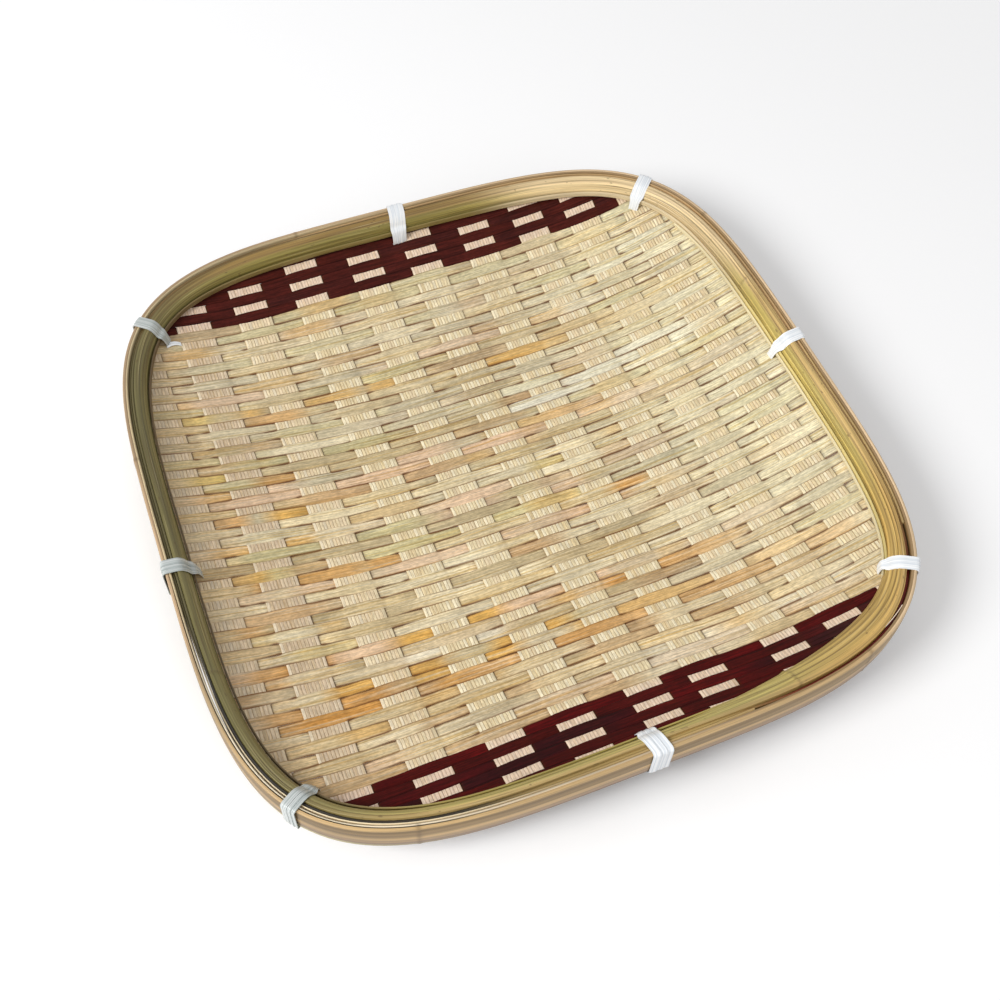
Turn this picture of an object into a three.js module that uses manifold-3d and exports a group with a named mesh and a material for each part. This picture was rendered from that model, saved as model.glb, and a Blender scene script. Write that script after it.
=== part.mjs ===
// A shallow square bamboo tray basket: a dished mat of woven splints, held in a rim of hoops
// that is laced with eight plastic strip ties. Millimetres, +Z up, +X along the wefts, +Y along the warps.
// The tray is centred on the Z axis, and the flat middle of its mat rests on z = 0.
import * as THREE from "three";
import { mergeVertices } from "three/addons/utils/BufferGeometryUtils.js";
import Module from "manifold-3d";

const wasm = await Module();
wasm.setup();

// Outline of the rim, seen from above
const TRAY_WIDTH = 240; // outside of the outer hoop, along X
const TRAY_DEPTH = 240; // outside of the outer hoop, along Y
const CORNER_POWER = 4; // superellipse power of the rounded square
const RIM_STATIONS = 48; // straight facets round the rim
const STATION_CROWDING = 0.6; // below 1, the facets are shorter round the corners
const CLEARANCE = 0.3; // gap between two pieces that touch

// Rim pieces, listed from the outside inwards
const OUTER_HOOP_THICKNESS = 2;
const OUTER_HOOP_HEIGHT = 13;
const OUTER_HOOP_ROUND = 0.6;
const FILLER_LATH_THICKNESS = 0.4;
const FILLER_LATH_HEIGHT = 8;
const FILLER_LATH_DROP = 0.6; // its top below the top of the outer hoop
const MAT_EDGE_THICKNESS = 0.4; // the mat's strip ends, turned up between the hoops
const MAT_EDGE_DROP = 1;
const INNER_HOOP_WIDTH = 4.3;
const INNER_HOOP_DROP = 0.3;
const FOOT_LATH_THICKNESS = 0.6;
const FOOT_LATH_HEIGHT = 2.4;
const INNER_HOOP_FACE_ANGLES = [0, 22, 42, 62, 90]; // degrees down the face, from its top edge to its foot

// Woven mat
const DISH_DEPTH = 16; // from the flat middle up to the foot of the rim
const DISH_FLAT_SHARE = 0.2; // share of the half width that lies flat
const DISH_POWER = 2.4; // how late the mat turns up
const RIM_RISE = 8; // from the mat at the rim's foot to the top of the rim
const WARP_PITCH = 23; // from one bundle of warps to the next
const WARP_WIDTH = 12.5;
const WARP_THICKNESS = 0.5;
const WARP_SHIFT = -4.6; // the bundles lie a little to the left
const WARP_STRAY = [1, -1, -1, 0, 1, 1, 1, 3, 0, -2]; // how far each hand-laid bundle is off its place
const WARP_STEP = 15; // length of one straight facet
const WEFT_PITCH = 3.82;
const WEFT_THICKNESS = 0.5;
const WEFT_GAP = 0.3; // slit between two wefts
const WEFT_SHIFT = 2.3; // the rows lie a little to the back
const WEFT_SKEW = 0.015; // rise along Y for each millimetre along X
const WEFT_LEAD = 0.4; // a weft is at its full height this far before a bundle
const DARK_PITCH = 3.35; // the dyed wefts are narrower
const DARK_ROWS_FRONT = 7; // dyed wefts along the front edge, the last ones under the rim
const DARK_ROWS_BACK = 6;
const WEFTS_JOINED = 3; // the pale wefts are joined in threes, and the middle one is on its own
const TAB_LENGTH = 2; // the small joint between two wefts of one solid
const TAB_LAP = 0.3; // how far the joint runs into each of the two
const TAB_THICKNESS = 0.35;

// Strip ties that lace the rim
const TIE_ANGLES = [3.4, 45, 90, 137.6, 183.8, 223, 270.6, 319.5]; // degrees from +X
const TIE_TURNS = 3;
const TIE_STRIP_WIDTH = 1.55;
const TIE_STRIP_THICKNESS = 0.4;
const TIE_TURN_PITCH = 2.15;
const TIE_STAND_OFF = 1.8; // from the foot lath to where a tie passes through the mat
const TIE_BEND_ANGLES = [25, 50]; // degrees down the inner hoop's face where the strip is bent
const TIE_GAP_SAMPLES = 4; // points measured along each straight stretch of a tie

// Worked out from the sizes above
const fillerOuter = OUTER_HOOP_THICKNESS + CLEARANCE;
const edgeOuter = fillerOuter + FILLER_LATH_THICKNESS + CLEARANCE;
const matInset = edgeOuter + MAT_EDGE_THICKNESS + CLEARANCE; // where the strips end under the inner hoop
const hoopInner = matInset + INNER_HOOP_WIDTH;
const footOuter = hoopInner + CLEARANCE;
const footInner = footOuter + FOOT_LATH_THICKNESS;
const weftLift = (WARP_THICKNESS + WEFT_THICKNESS) / 2 + CLEARANCE; // weft over or under a bundle
const matHalfThickness = weftLift + WEFT_THICKNESS / 2;
const rimTop = matHalfThickness + DISH_DEPTH + RIM_RISE;
const outerHoopBottom = rimTop - OUTER_HOOP_HEIGHT;

// Materials
function finish(color, roughness) {
  return new THREE.MeshStandardMaterial({ color, roughness, metalness: 0 });
}
const outerSkin = finish(0xc2a97c, 0.5);
const lathWood = finish(0xcdb988, 0.6);
const innerSkin = finish(0xa3913f, 0.45);
const paleSplint = finish(0xe6d6a6, 0.6);
const weftSplint = finish(0xdcc795, 0.6);
const dyedSplint = finish(0x4a0c1a, 0.5);
const whiteStrip = finish(0xeef0f0, 0.4);

// A closed solid from rings of points. The rings run on into each other, and the ends are capped
// unless the last ring joins the first one.
function solidOfRings(rings, joined) {
  const size = rings[0].length;
  const faces = [];
  const links = joined ? rings.length : rings.length - 1;
  for (let i = 0; i < links; i++) {
    const here = i * size;
    const next = ((i + 1) % rings.length) * size;
    for (let j = 0; j < size; j++) {
      const k = (j + 1) % size;
      faces.push(here + j, here + k, next + k);
      faces.push(here + j, next + k, next + j);
    }
  }
  if (!joined) {
    const last = (rings.length - 1) * size;
    for (let j = 1; j < size - 1; j++) {
      faces.push(0, j + 1, j);
      faces.push(last, last + j, last + j + 1);
    }
  }
  const geometry = new THREE.BufferGeometry();
  const points = rings.flat().flatMap((p) => [p.x, p.y, p.z]);
  geometry.setAttribute("position", new THREE.Float32BufferAttribute(points, 3));
  geometry.setIndex(faces);
  return solidOf(geometry);
}

function solidOf(geometry) {
  const merged = mergeVertices(geometry, 1e-4);
  const made = new wasm.Manifold(
    new wasm.Mesh({
      numProp: 3,
      vertProperties: new Float32Array(merged.attributes.position.array),
      triVerts: new Uint32Array(merged.index.array),
    }),
  );
  return made.volume() < 0 ? solidOf(turnedOver(merged)) : made;
}

function turnedOver(geometry) {
  const index = Array.from(geometry.index.array);
  for (let i = 0; i < index.length; i += 3) {
    [index[i + 1], index[i + 2]] = [index[i + 2], index[i + 1]];
  }
  geometry.setIndex(index);
  return geometry;
}

const tray = new THREE.Group();

function addPiece(name, solid, material) {
  const made = solid.getMesh();
  const geometry = new THREE.BufferGeometry();
  const points = new THREE.Float32BufferAttribute(Array.from(made.vertProperties), 3);
  geometry.setAttribute("position", points);
  geometry.setIndex(Array.from(made.triVerts));
  geometry.computeVertexNormals();
  const mesh = new THREE.Mesh(geometry, material);
  mesh.name = name;
  tray.add(mesh);
}

// The rim's outer face is a superellipse. A place on the rim is a station number, whole or between two
// stations, and an inset: the distance inwards from the outer face.
const halfX = TRAY_WIDTH / 2;
const halfY = TRAY_DEPTH / 2;

function signedPower(value, power) {
  return Math.sign(value) * Math.abs(value) ** power;
}

function stationPoint(station, inset) {
  const angle = (2 * Math.PI * station) / RIM_STATIONS;
  const c = signedPower(Math.cos(angle), STATION_CROWDING);
  const s = signedPower(Math.sin(angle), STATION_CROWDING);
  const power = CORNER_POWER;
  const radius = (Math.abs(c / halfX) ** power + Math.abs(s / halfY) ** power) ** (-1 / power);
  const x = radius * c;
  const y = radius * s;
  const outward = new THREE.Vector2(
    signedPower(x / halfX, power - 1) / halfX,
    signedPower(y / halfY, power - 1) / halfY,
  ).normalize();
  return new THREE.Vector2(x, y).addScaledVector(outward, -inset);
}

function rimPoint(place, inset) {
  const station = Math.floor(place);
  return stationPoint(station, inset).lerp(stationPoint(station + 1, inset), place - station);
}

// The place on the rim that is seen at an angle from the tray's centre
function placeAt(degrees) {
  const angle = THREE.MathUtils.degToRad(degrees);
  const sight = new THREE.Vector2(Math.cos(angle), Math.sin(angle));
  const sideOf = (station) => sight.cross(stationPoint(station, 0));
  const stations = Array.from({ length: RIM_STATIONS }, (_, station) => station);
  const facet = stations.find((station) => {
    const ahead = sight.dot(stationPoint(station, 0)) > 0;
    return ahead && sideOf(station) <= 0 && sideOf(station + 1) > 0;
  });
  return facet + sideOf(facet) / (sideOf(facet) - sideOf(facet + 1));
}

function facetLength(place) {
  const station = Math.floor(place);
  return stationPoint(station, 0).distanceTo(stationPoint(station + 1, 0));
}

// Height of the middle of the mat's thickness above the table
function matHeight(x, y) {
  const reachX = halfX - footOuter;
  const reachY = halfY - footOuter;
  const power = CORNER_POWER;
  const spread = (Math.abs(x / reachX) ** power + Math.abs(y / reachY) ** power) ** (1 / power);
  const climb = Math.max(0, (spread - DISH_FLAT_SHARE) / (1 - DISH_FLAT_SHARE));
  return matHalfThickness + DISH_DEPTH * climb ** DISH_POWER;
}

// A hoop or lath: its section is a list of [inset, height] for each station
function hoopSolid(sectionAt) {
  const rings = [];
  for (let station = 0; station < RIM_STATIONS; station++) {
    const ring = sectionAt(station).map(([inset, height]) => {
      const place = stationPoint(station, inset);
      return new THREE.Vector3(place.x, place.y, height);
    });
    rings.push(ring);
  }
  return solidOfRings(rings, true);
}

function heightOnMat(station, inset, above) {
  const place = stationPoint(station, inset);
  return matHeight(place.x, place.y) + above;
}

function outerHoop() {
  const t = OUTER_HOOP_THICKNESS;
  const r = OUTER_HOOP_ROUND;
  return hoopSolid(() => [
    [0, outerHoopBottom + r],
    [0, rimTop - r],
    [r, rimTop],
    [t, rimTop],
    [t, outerHoopBottom],
    [r, outerHoopBottom],
  ]);
}

function fillerLath() {
  const top = rimTop - FILLER_LATH_DROP;
  const inner = fillerOuter + FILLER_LATH_THICKNESS;
  return hoopSolid(() => [
    [fillerOuter, top - FILLER_LATH_HEIGHT],
    [fillerOuter, top],
    [inner, top],
    [inner, top - FILLER_LATH_HEIGHT],
  ]);
}

function matEdge() {
  const top = rimTop - MAT_EDGE_DROP;
  const inner = edgeOuter + MAT_EDGE_THICKNESS;
  return hoopSolid((station) => {
    const bottom = heightOnMat(station, matInset, -matHalfThickness);
    return [
      [edgeOuter, bottom],
      [edgeOuter, top],
      [inner, top],
      [inner, bottom],
    ];
  });
}

// The inner hoop's face is a quarter of an ellipse that bulges into the tray
const hoopTop = rimTop - INNER_HOOP_DROP;
const seatOnMat = matHalfThickness + CLEARANCE;

function hoopFacePoint(station, degrees, proud) {
  const angle = THREE.MathUtils.degToRad(degrees);
  const foot = heightOnMat(station, hoopInner, seatOnMat);
  return [
    matInset + (INNER_HOOP_WIDTH + proud) * Math.sin(angle),
    foot + (hoopTop - foot + proud) * Math.cos(angle),
  ];
}

function innerHoop() {
  return hoopSolid((station) => [
    [matInset, heightOnMat(station, matInset, seatOnMat)],
    ...INNER_HOOP_FACE_ANGLES.map((degrees) => hoopFacePoint(station, degrees, 0)),
  ]);
}

function footLath() {
  return hoopSolid((station) => {
    const outerSeat = heightOnMat(station, footOuter, seatOnMat);
    const innerSeat = heightOnMat(station, footInner, seatOnMat);
    return [
      [footOuter, outerSeat],
      [footOuter, outerSeat + FOOT_LATH_HEIGHT],
      [footInner, outerSeat + FOOT_LATH_HEIGHT],
      [footInner, innerSeat],
    ];
  });
}

addPiece("outer_hoop", outerHoop(), outerSkin);
addPiece("filler_lath", fillerLath(), lathWood);
addPiece("turned_up_mat_edge", matEdge(), paleSplint);
addPiece("inner_hoop", innerHoop(), innerSkin);
addPiece("foot_lath", footLath(), lathWood);

// A tie is one flat strip, wound round both hoops and through the mat inwards of the foot lath
const tieOffset = CLEARANCE + TIE_STRIP_THICKNESS / 2;
const tieThroughMat = footInner + TIE_STAND_OFF;

function tiePath(station) {
  const footTop = heightOnMat(station, footOuter, seatOnMat) + FOOT_LATH_HEIGHT;
  const underMat = heightOnMat(station, tieThroughMat, -matHalfThickness - tieOffset);
  return [
    [OUTER_HOOP_THICKNESS, outerHoopBottom - tieOffset],
    [-tieOffset, outerHoopBottom - tieOffset],
    [-tieOffset, rimTop + tieOffset],
    ...TIE_BEND_ANGLES.map((degrees) => hoopFacePoint(station, degrees, 2 * tieOffset)),
    [footInner + tieOffset, footTop + CLEARANCE],
    [tieThroughMat, underMat],
  ];
}

// Moves each corner of a closed path square to it, by the same distance on every side
function offsetPath(path, distance) {
  return path.map(([u, z], i) => {
    const before = path[(i + path.length - 1) % path.length];
    const after = path[(i + 1) % path.length];
    const way = new THREE.Vector2(u - before[0], z - before[1]).normalize();
    const nextWay = new THREE.Vector2(after[0] - u, after[1] - z).normalize();
    const normal = new THREE.Vector2(-way.y - nextWay.y, way.x + nextWay.x);
    const mitre = (2 * distance) / normal.lengthSq();
    return [u + normal.x * mitre, z + normal.y * mitre];
  });
}

function tieRings(place) {
  const path = tiePath(place);
  const inside = offsetPath(path, -TIE_STRIP_THICKNESS / 2);
  const outside = offsetPath(path, TIE_STRIP_THICKNESS / 2);
  const steps = TIE_TURNS * path.length;
  const rings = [];
  for (let step = 0; step <= steps; step++) {
    const corner = step % path.length;
    const along = (step / path.length - TIE_TURNS / 2) * TIE_TURN_PITCH;
    const edges = [along - TIE_STRIP_WIDTH / 2, along + TIE_STRIP_WIDTH / 2];
    const point = ([inset, height], edge) => {
      const spot = rimPoint(place + edge / facetLength(place), inset);
      return new THREE.Vector3(spot.x, spot.y, height);
    };
    rings.push([
      point(inside[corner], edges[0]),
      point(inside[corner], edges[1]),
      point(outside[corner], edges[1]),
      point(outside[corner], edges[0]),
    ]);
  }
  return rings;
}

// The least distance between points on one turn and points on the next turn of the same strip
function leastTurnGap(rings) {
  const ringsPerTurn = (rings.length - 1) / TIE_TURNS;
  const samples = rings.slice(1).flatMap((ring, i) => {
    const shares = Array.from({ length: TIE_GAP_SAMPLES }, (_, n) => n / TIE_GAP_SAMPLES);
    return shares.map((share) => ring.map((point, j) => rings[i][j].clone().lerp(point, share)));
  });
  const samplesPerTurn = ringsPerTurn * TIE_GAP_SAMPLES;
  let least = Infinity;
  samples.forEach((here, i) => {
    const later = samples.slice(i + samplesPerTurn / 2).flat();
    for (const point of here) {
      least = Math.min(least, ...later.map((other) => point.distanceTo(other)));
    }
  });
  return least;
}

let tieGap = Infinity;
TIE_ANGLES.forEach((angle, i) => {
  const rings = tieRings(placeAt(angle));
  tieGap = Math.min(tieGap, leastTurnGap(rings));
  addPiece("tie_" + (i + 1), solidOfRings(rings, false), whiteStrip);
});
console.log("least gap between the turns of a tie: " + tieGap.toFixed(2) + " mm");

// Cuts that keep the strips inside the rim and clear of the ties
function prism(corners, bottom, top) {
  const rings = [bottom, top].map((height) => {
    return corners.map((corner) => new THREE.Vector3(corner.x, corner.y, height));
  });
  return solidOfRings(rings, false);
}

const matOutline = prism(
  Array.from({ length: RIM_STATIONS }, (_, station) => stationPoint(station, matInset)),
  -rimTop,
  2 * rimTop,
);

const tieWidth = (TIE_TURNS + 1) * TIE_TURN_PITCH;
const tieNotches = TIE_ANGLES.map((angle) => {
  const place = placeAt(angle);
  const reach = tieWidth / 2 / facetLength(place);
  const depth = tieThroughMat + TIE_STRIP_THICKNESS / 2 + CLEARANCE;
  const corners = [
    rimPoint(place - reach, 0),
    rimPoint(place, 0),
    rimPoint(place + reach, 0),
    rimPoint(place + reach, depth),
    rimPoint(place, depth),
    rimPoint(place - reach, depth),
  ];
  return prism(corners, -rimTop, 2 * rimTop);
});

// A strip trimmed to the rim. Where it meets a tie, it ends on the tie's inner side.
function trimmed(strip) {
  let left = strip.intersect(matOutline);
  for (const notch of tieNotches) {
    left = left.subtract(notch);
  }
  const pieces = left.decompose();
  pieces.sort((a, b) => b.volume() - a.volume());
  return pieces[0];
}

// Centre lines of the warp bundles, from left to right
const warpCentres = [];
const warpRange = Math.ceil(halfX / WARP_PITCH);
for (let k = -warpRange; k < warpRange; k++) {
  const stray = WARP_STRAY[k + WARP_STRAY.length / 2] ?? 0;
  const x = WARP_SHIFT + WARP_PITCH * (k + 0.5) + stray;
  if (Math.abs(x) + WARP_WIDTH / 2 < halfX - matInset) {
    warpCentres.push(x);
  }
}

function warpSolid(centre) {
  const edges = [centre - WARP_WIDTH / 2, centre + WARP_WIDTH / 2];
  const count = 2 * Math.ceil(halfY / WARP_STEP);
  const half = WARP_THICKNESS / 2;
  const rings = [];
  for (let i = 0; i <= count; i++) {
    const y = (i / count - 0.5) * TRAY_DEPTH;
    const [low, high] = edges.map((x) => matHeight(x, y));
    rings.push([
      new THREE.Vector3(edges[0], y, low - half),
      new THREE.Vector3(edges[1], y, high - half),
      new THREE.Vector3(edges[1], y, high + half),
      new THREE.Vector3(edges[0], y, low + half),
    ]);
  }
  return trimmed(solidOfRings(rings, false));
}

warpCentres.forEach((centre, i) => {
  addPiece("warp_bundle_" + String(i + 1).padStart(2, "0"), warpSolid(centre), paleSplint);
});

// Rows of wefts: row 0 crosses the middle, and the dyed rows are the outermost ones
const darkReach = ((DARK_ROWS_FRONT + DARK_ROWS_BACK) / 2) * DARK_PITCH;
const paleReach = halfY - matInset - darkReach - WEFT_PITCH / 2;
const paleGroups = Math.round(paleReach / WEFT_PITCH / WEFTS_JOINED); // on each side of the middle weft
const paleRows = paleGroups * WEFTS_JOINED;

function rowWidth(row) {
  return (Math.abs(row) > paleRows ? DARK_PITCH : WEFT_PITCH) - WEFT_GAP;
}

function rowCentre(row) {
  const pale = Math.min(Math.abs(row), paleRows);
  const dark = Math.abs(row) - pale;
  const seam = dark > 0 ? (WEFT_PITCH - DARK_PITCH) / 2 : 0;
  return WEFT_SHIFT + Math.sign(row) * (pale * WEFT_PITCH + dark * DARK_PITCH + seam);
}

// +1 where a weft lies over a bundle and -1 where it lies under it
function weftSide(row, bundle) {
  return Math.abs(row + bundle) % 2 === 1 ? 1 : -1;
}

function weftSolid(row) {
  const stops = [];
  const reach = WARP_WIDTH / 2 + WEFT_LEAD;
  warpCentres.forEach((centre, bundle) => {
    const lift = weftSide(row, bundle) * weftLift;
    stops.push([centre - reach, lift], [centre + reach, lift]);
  });
  stops.unshift([-halfX, 0]);
  stops.push([halfX, 0]);
  const half = WEFT_THICKNESS / 2;
  const rings = stops.map(([x, lift]) => {
    const middle = rowCentre(row) + WEFT_SKEW * x;
    const edges = [middle - rowWidth(row) / 2, middle + rowWidth(row) / 2];
    const [front, back] = edges.map((y) => matHeight(x, y) + lift);
    return [
      new THREE.Vector3(x, edges[0], front - half),
      new THREE.Vector3(x, edges[0], front + half),
      new THREE.Vector3(x, edges[1], back + half),
      new THREE.Vector3(x, edges[1], back - half),
    ];
  });
  return trimmed(solidOfRings(rings, false));
}

// Two neighbouring wefts cross levels half way between two bundles, and a small tab joins them there
function tabSolid(row, bundle) {
  const x = (warpCentres[bundle] + warpCentres[bundle + 1]) / 2;
  const slit = rowCentre(row) + rowWidth(row) / 2 + WEFT_GAP / 2;
  const y = slit + WEFT_SKEW * x;
  const tab = new THREE.BoxGeometry(TAB_LENGTH, WEFT_GAP + 2 * TAB_LAP, TAB_THICKNESS);
  tab.translate(x, y, matHeight(x, y));
  tab.deleteAttribute("normal");
  tab.deleteAttribute("uv");
  return solidOf(tab);
}

function joinedWefts(rows) {
  const middleBundle = Math.floor(warpCentres.length / 2) - 1;
  let joined = weftSolid(rows[0]);
  for (const row of rows.slice(1)) {
    joined = joined.add(tabSolid(row - 1, middleBundle)).add(weftSolid(row));
  }
  return joined;
}

for (let i = 1; i <= DARK_ROWS_FRONT; i++) {
  addPiece("dark_weft_front_" + i, weftSolid(-paleRows - i), dyedSplint);
}
for (let i = 1; i <= DARK_ROWS_BACK; i++) {
  addPiece("dark_weft_back_" + i, weftSolid(paleRows + i), dyedSplint);
}

addPiece("pale_weft_middle", weftSolid(0), weftSplint);
for (let group = 1; group <= paleGroups; group++) {
  const rows = Array.from({ length: WEFTS_JOINED }, (_, i) => (group - 1) * WEFTS_JOINED + 1 + i);
  addPiece("pale_wefts_back_" + group, joinedWefts(rows), weftSplint);
  const mirrored = rows.map((row) => -row).reverse();
  addPiece("pale_wefts_front_" + group, joinedWefts(mirrored), weftSplint);
}

const weftCount = 2 * paleRows + 1 + DARK_ROWS_FRONT + DARK_ROWS_BACK;
console.log(
  warpCentres.length + " bundles of warps, " + weftCount + " wefts, rim top at " + rimTop.toFixed(2) + " mm",
);

export default tray;
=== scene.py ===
import math
import random

import bmesh
import bpy
from mathutils import Matrix, Vector, noise


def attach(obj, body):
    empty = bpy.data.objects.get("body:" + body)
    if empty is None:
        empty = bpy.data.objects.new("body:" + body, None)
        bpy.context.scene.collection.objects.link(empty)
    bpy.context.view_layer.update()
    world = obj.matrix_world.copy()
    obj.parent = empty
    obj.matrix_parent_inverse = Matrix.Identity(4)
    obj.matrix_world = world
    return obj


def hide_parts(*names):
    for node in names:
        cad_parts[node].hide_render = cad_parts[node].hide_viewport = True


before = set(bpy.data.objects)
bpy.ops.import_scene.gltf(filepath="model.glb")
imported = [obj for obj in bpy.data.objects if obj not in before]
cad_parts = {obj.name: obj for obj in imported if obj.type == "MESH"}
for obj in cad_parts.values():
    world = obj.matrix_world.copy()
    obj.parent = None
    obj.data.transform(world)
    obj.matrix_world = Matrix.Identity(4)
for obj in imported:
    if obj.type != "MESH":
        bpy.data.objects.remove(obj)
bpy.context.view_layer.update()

METRE = 0.001  # one millimetre in metres

# Sizes that the rim and the mat share with the CAD solids. Insets are measured in from the rim's outside.
HALF_WIDTH = 120.0  # from the middle of the tray to the outside of the outer hoop
CORNER_POWER = 4  # how square the rim's outline is
RIM_TOP = 25.05
OUTER_HOOP_BOTTOM = 12.05
FOOT_LATH_HEIGHT = 2.4
OUTER_HOOP_INNER = 2.0  # this and the next five are insets
MAT_END = 3.7
HOOP_FOOT = 8.0
FOOT_LATH_OUTER = 8.3
FOOT_LATH_INNER = 8.9
TIE_THROUGH_MAT = 10.7
DISH_DEPTH = 16.0
DISH_FLAT_SHARE = 0.2
DISH_POWER = 2.4
MAT_MIDDLE = 1.05  # height of the middle of the mat's thickness above the table
HOOP_SEAT = 1.35  # from there up to what rests on the mat in the solids
WEFT_PITCH = 3.82
DARK_PITCH = 3.35
WEFT_SHIFT = 2.3  # of all rows along Y
PALE_ROWS = 24
DARK_ROWS_FRONT = 7
DARK_ROWS_BACK = 6
BUNDLE_WIDTH = 12.5

# Ties: place round the rim in degrees, spread of the turns, how far they lean aside outside, pinch at the mat
TIES = [
    (3.4, 0.8, 0.3, 0.4), (45, 0.9, 0.0, 0.3), (90, 1.22, -0.6, 0.12), (137.6, 0.75, 0.6, 0.3),
    (183.8, 0.9, 0.0, 0.3), (223, 0.85, -0.6, 0.4), (270.6, 1.25, 1.6, 0.16), (319.5, 0.75, 0.0, 0.3),
]
OUTER_NODES = [33.0, 108.2, 163.0, 238.0, 304.0]  # the bamboo's nodes round the rim, in degrees
INNER_NODES = [18.0, 202.0, 293.3]

# Sizes of the strips as they are dressed here. The bundles lie up to 1.3 beside those of the solids.
BUNDLE_CENTRES = [-107.1, -86.3, -62.8, -38.8, -15.5, 8.2, 30.4, 55.4, 76.5, 98.2]
BUNDLE_LEANS = [0.0, 0.0, -0.01, -0.019, -0.01, -0.02, -0.008, -0.033, -0.031, -0.033]  # drift in X along Y
SPLINTS_IN_BUNDLE = 11
SPLINT_THICKNESS = 0.36
WEFT_THICKNESS = 0.38
WARP_LIFT = 0.18
WEFT_LIFT = 0.2
ROW_SLANT = 0.03  # drift of the rows in Y along X, twice that of the solids
MAT_DROP = 0.63  # lets the dressed mat touch the table
STRIP_END = 3.42  # inset at which the dressed strips end, where they turn up
HOOP_STATIONS = 256
INNER_HOOP_TOP = RIM_TOP - 0.3
LAYER_SEAM = 1.2  # inset at which the outer hoop's two layers meet
FILLER_OUTER = 2.16
FILLER_INNER = 2.84
FILLER_HEIGHT = 7.5
MAT_EDGE_OUTER = 2.96
MAT_EDGE_INNER = 3.74
SIDE_LATH_OUTER = 9.1
SIDE_LATH_INNER = 9.7
SIDE_LATH_HEIGHT = 1.5
FOOT_LATH_LOWERED = 0.2  # from the solid's height

# At the front right corner the hoops were pulled apart: where, in degrees, and how far
SPREAD_START = 272
SPREAD_MIDDLE = 304
SPREAD_END = 328
INNER_HOOP_OUTWARDS = 0.9
INNER_HOOP_INWARDS = 4.5
FOOT_LATH_INWARDS = 1.3


def srgb(red, green, blue):
    """A colour written as on a screen, in the linear numbers that a shader takes."""
    def linear(channel):
        share = channel / 255
        return share / 12.92 if share <= 0.04045 else ((share + 0.055) / 1.055) ** 2.4
    return (linear(red), linear(green), linear(blue), 1.0)


def blended(first, second, share):
    return tuple(a + (b - a) * share for a, b in zip(first, second))


def shaded(tone, factor):
    return tuple(min(1.0, channel * factor) for channel in tone[:3]) + (1.0,)


def eased(value, low, high):
    share = min(1.0, max(0.0, (value - low) / (high - low)))
    return share * share * (3 - 2 * share)


def wander(x, y=0.0, z=0.0):
    """Smooth noise between about -1 and 1."""
    return noise.noise(Vector((x, y, z)))


# Shader nodes

class Signal:
    """A shader socket that takes part in plain arithmetic."""

    def __init__(self, look, socket):
        self.look = look
        self.socket = socket

    def math(self, operation, *values):
        return self.look.node("ShaderNodeMath", {"operation": operation}, dict(enumerate(values)))

    def __add__(self, other):
        return self.math("ADD", self, other)

    def __sub__(self, other):
        return self.math("SUBTRACT", self, other)

    def __rsub__(self, other):
        return self.math("SUBTRACT", other, self)

    def __mul__(self, other):
        return self.math("MULTIPLY", self, other)

    def absolute(self):
        return self.math("ABSOLUTE", self)

    __radd__ = __add__
    __rmul__ = __mul__


class Look:
    """A material and the nodes that make its finish."""

    def __init__(self, name):
        self.material = bpy.data.materials.new(name)
        self.material.use_nodes = True
        self.tree = self.material.node_tree
        self.shader = self.tree.nodes["Principled BSDF"]

    def node(self, kind, settings, values, output=0):
        """A node with its settings and then the values or links of its sockets, as one of its outputs."""
        made = self.tree.nodes.new(kind)
        for name, value in settings.items():
            setattr(made, name, value)
        for key, value in values.items():
            self.feed(made.inputs[key], value)
        return Signal(self, made.outputs[output])

    def feed(self, socket, value):
        if isinstance(value, Signal):
            self.tree.links.new(value.socket, socket)
        else:
            socket.default_value = value

    def mark(self, name, output="Fac"):
        return self.node("ShaderNodeAttribute", {"attribute_name": name}, {}, output)

    def place(self):
        """Object coordinates as three signals, in millimetres."""
        spot = self.node("ShaderNodeTexCoord", {}, {}, "Object")
        parts = [self.node("ShaderNodeSeparateXYZ", {}, {0: spot}, axis) for axis in range(3)]
        return [part * 1000.0 for part in parts]

    def vector(self, x, y, z):
        return self.node("ShaderNodeCombineXYZ", {}, {0: x, 1: y, 2: z})

    def grain(self, vector, detail=2.0, roughness=0.5):
        values = {"Vector": vector, "Scale": 1.0, "Detail": detail, "Roughness": roughness}
        return self.node("ShaderNodeTexNoise", {}, values)

    def step(self, value, low, high, start=0.0, end=1.0):
        """Eases from start to end while the value goes from low to high."""
        values = {"Value": value, "From Min": low, "From Max": high, "To Min": start, "To Max": end}
        return self.node("ShaderNodeMapRange", {"interpolation_type": "SMOOTHSTEP"}, values)

    def mix(self, share, first, second):
        return self.node("ShaderNodeMix", {"data_type": "RGBA"}, {0: share, 6: first, 7: second}, 2)

    def seen(self):
        """1 on the rays by which the camera sees a thing, also as a reflection or through something clear."""
        camera, glossy, clear = [
            self.node("ShaderNodeLightPath", {}, {}, ray)
            for ray in ("Is Camera Ray", "Is Glossy Ray", "Is Transmission Ray")
        ]
        return camera + glossy + clear

    def scaled(self, colour, factor):
        return self.node("ShaderNodeVectorMath", {"operation": "SCALE"}, {0: colour, "Scale": factor})

    def relief(self, height, strength, distance):
        """Bumps of at most a distance in millimetres."""
        values = {"Strength": strength, "Distance": distance * METRE, "Height": height}
        self.feed(self.shader.inputs["Normal"], self.node("ShaderNodeBump", {}, values))

    def finish(self, **values):
        for name, value in values.items():
            self.feed(self.shader.inputs[name.replace("_", " ")], value)
        return self.material


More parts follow.
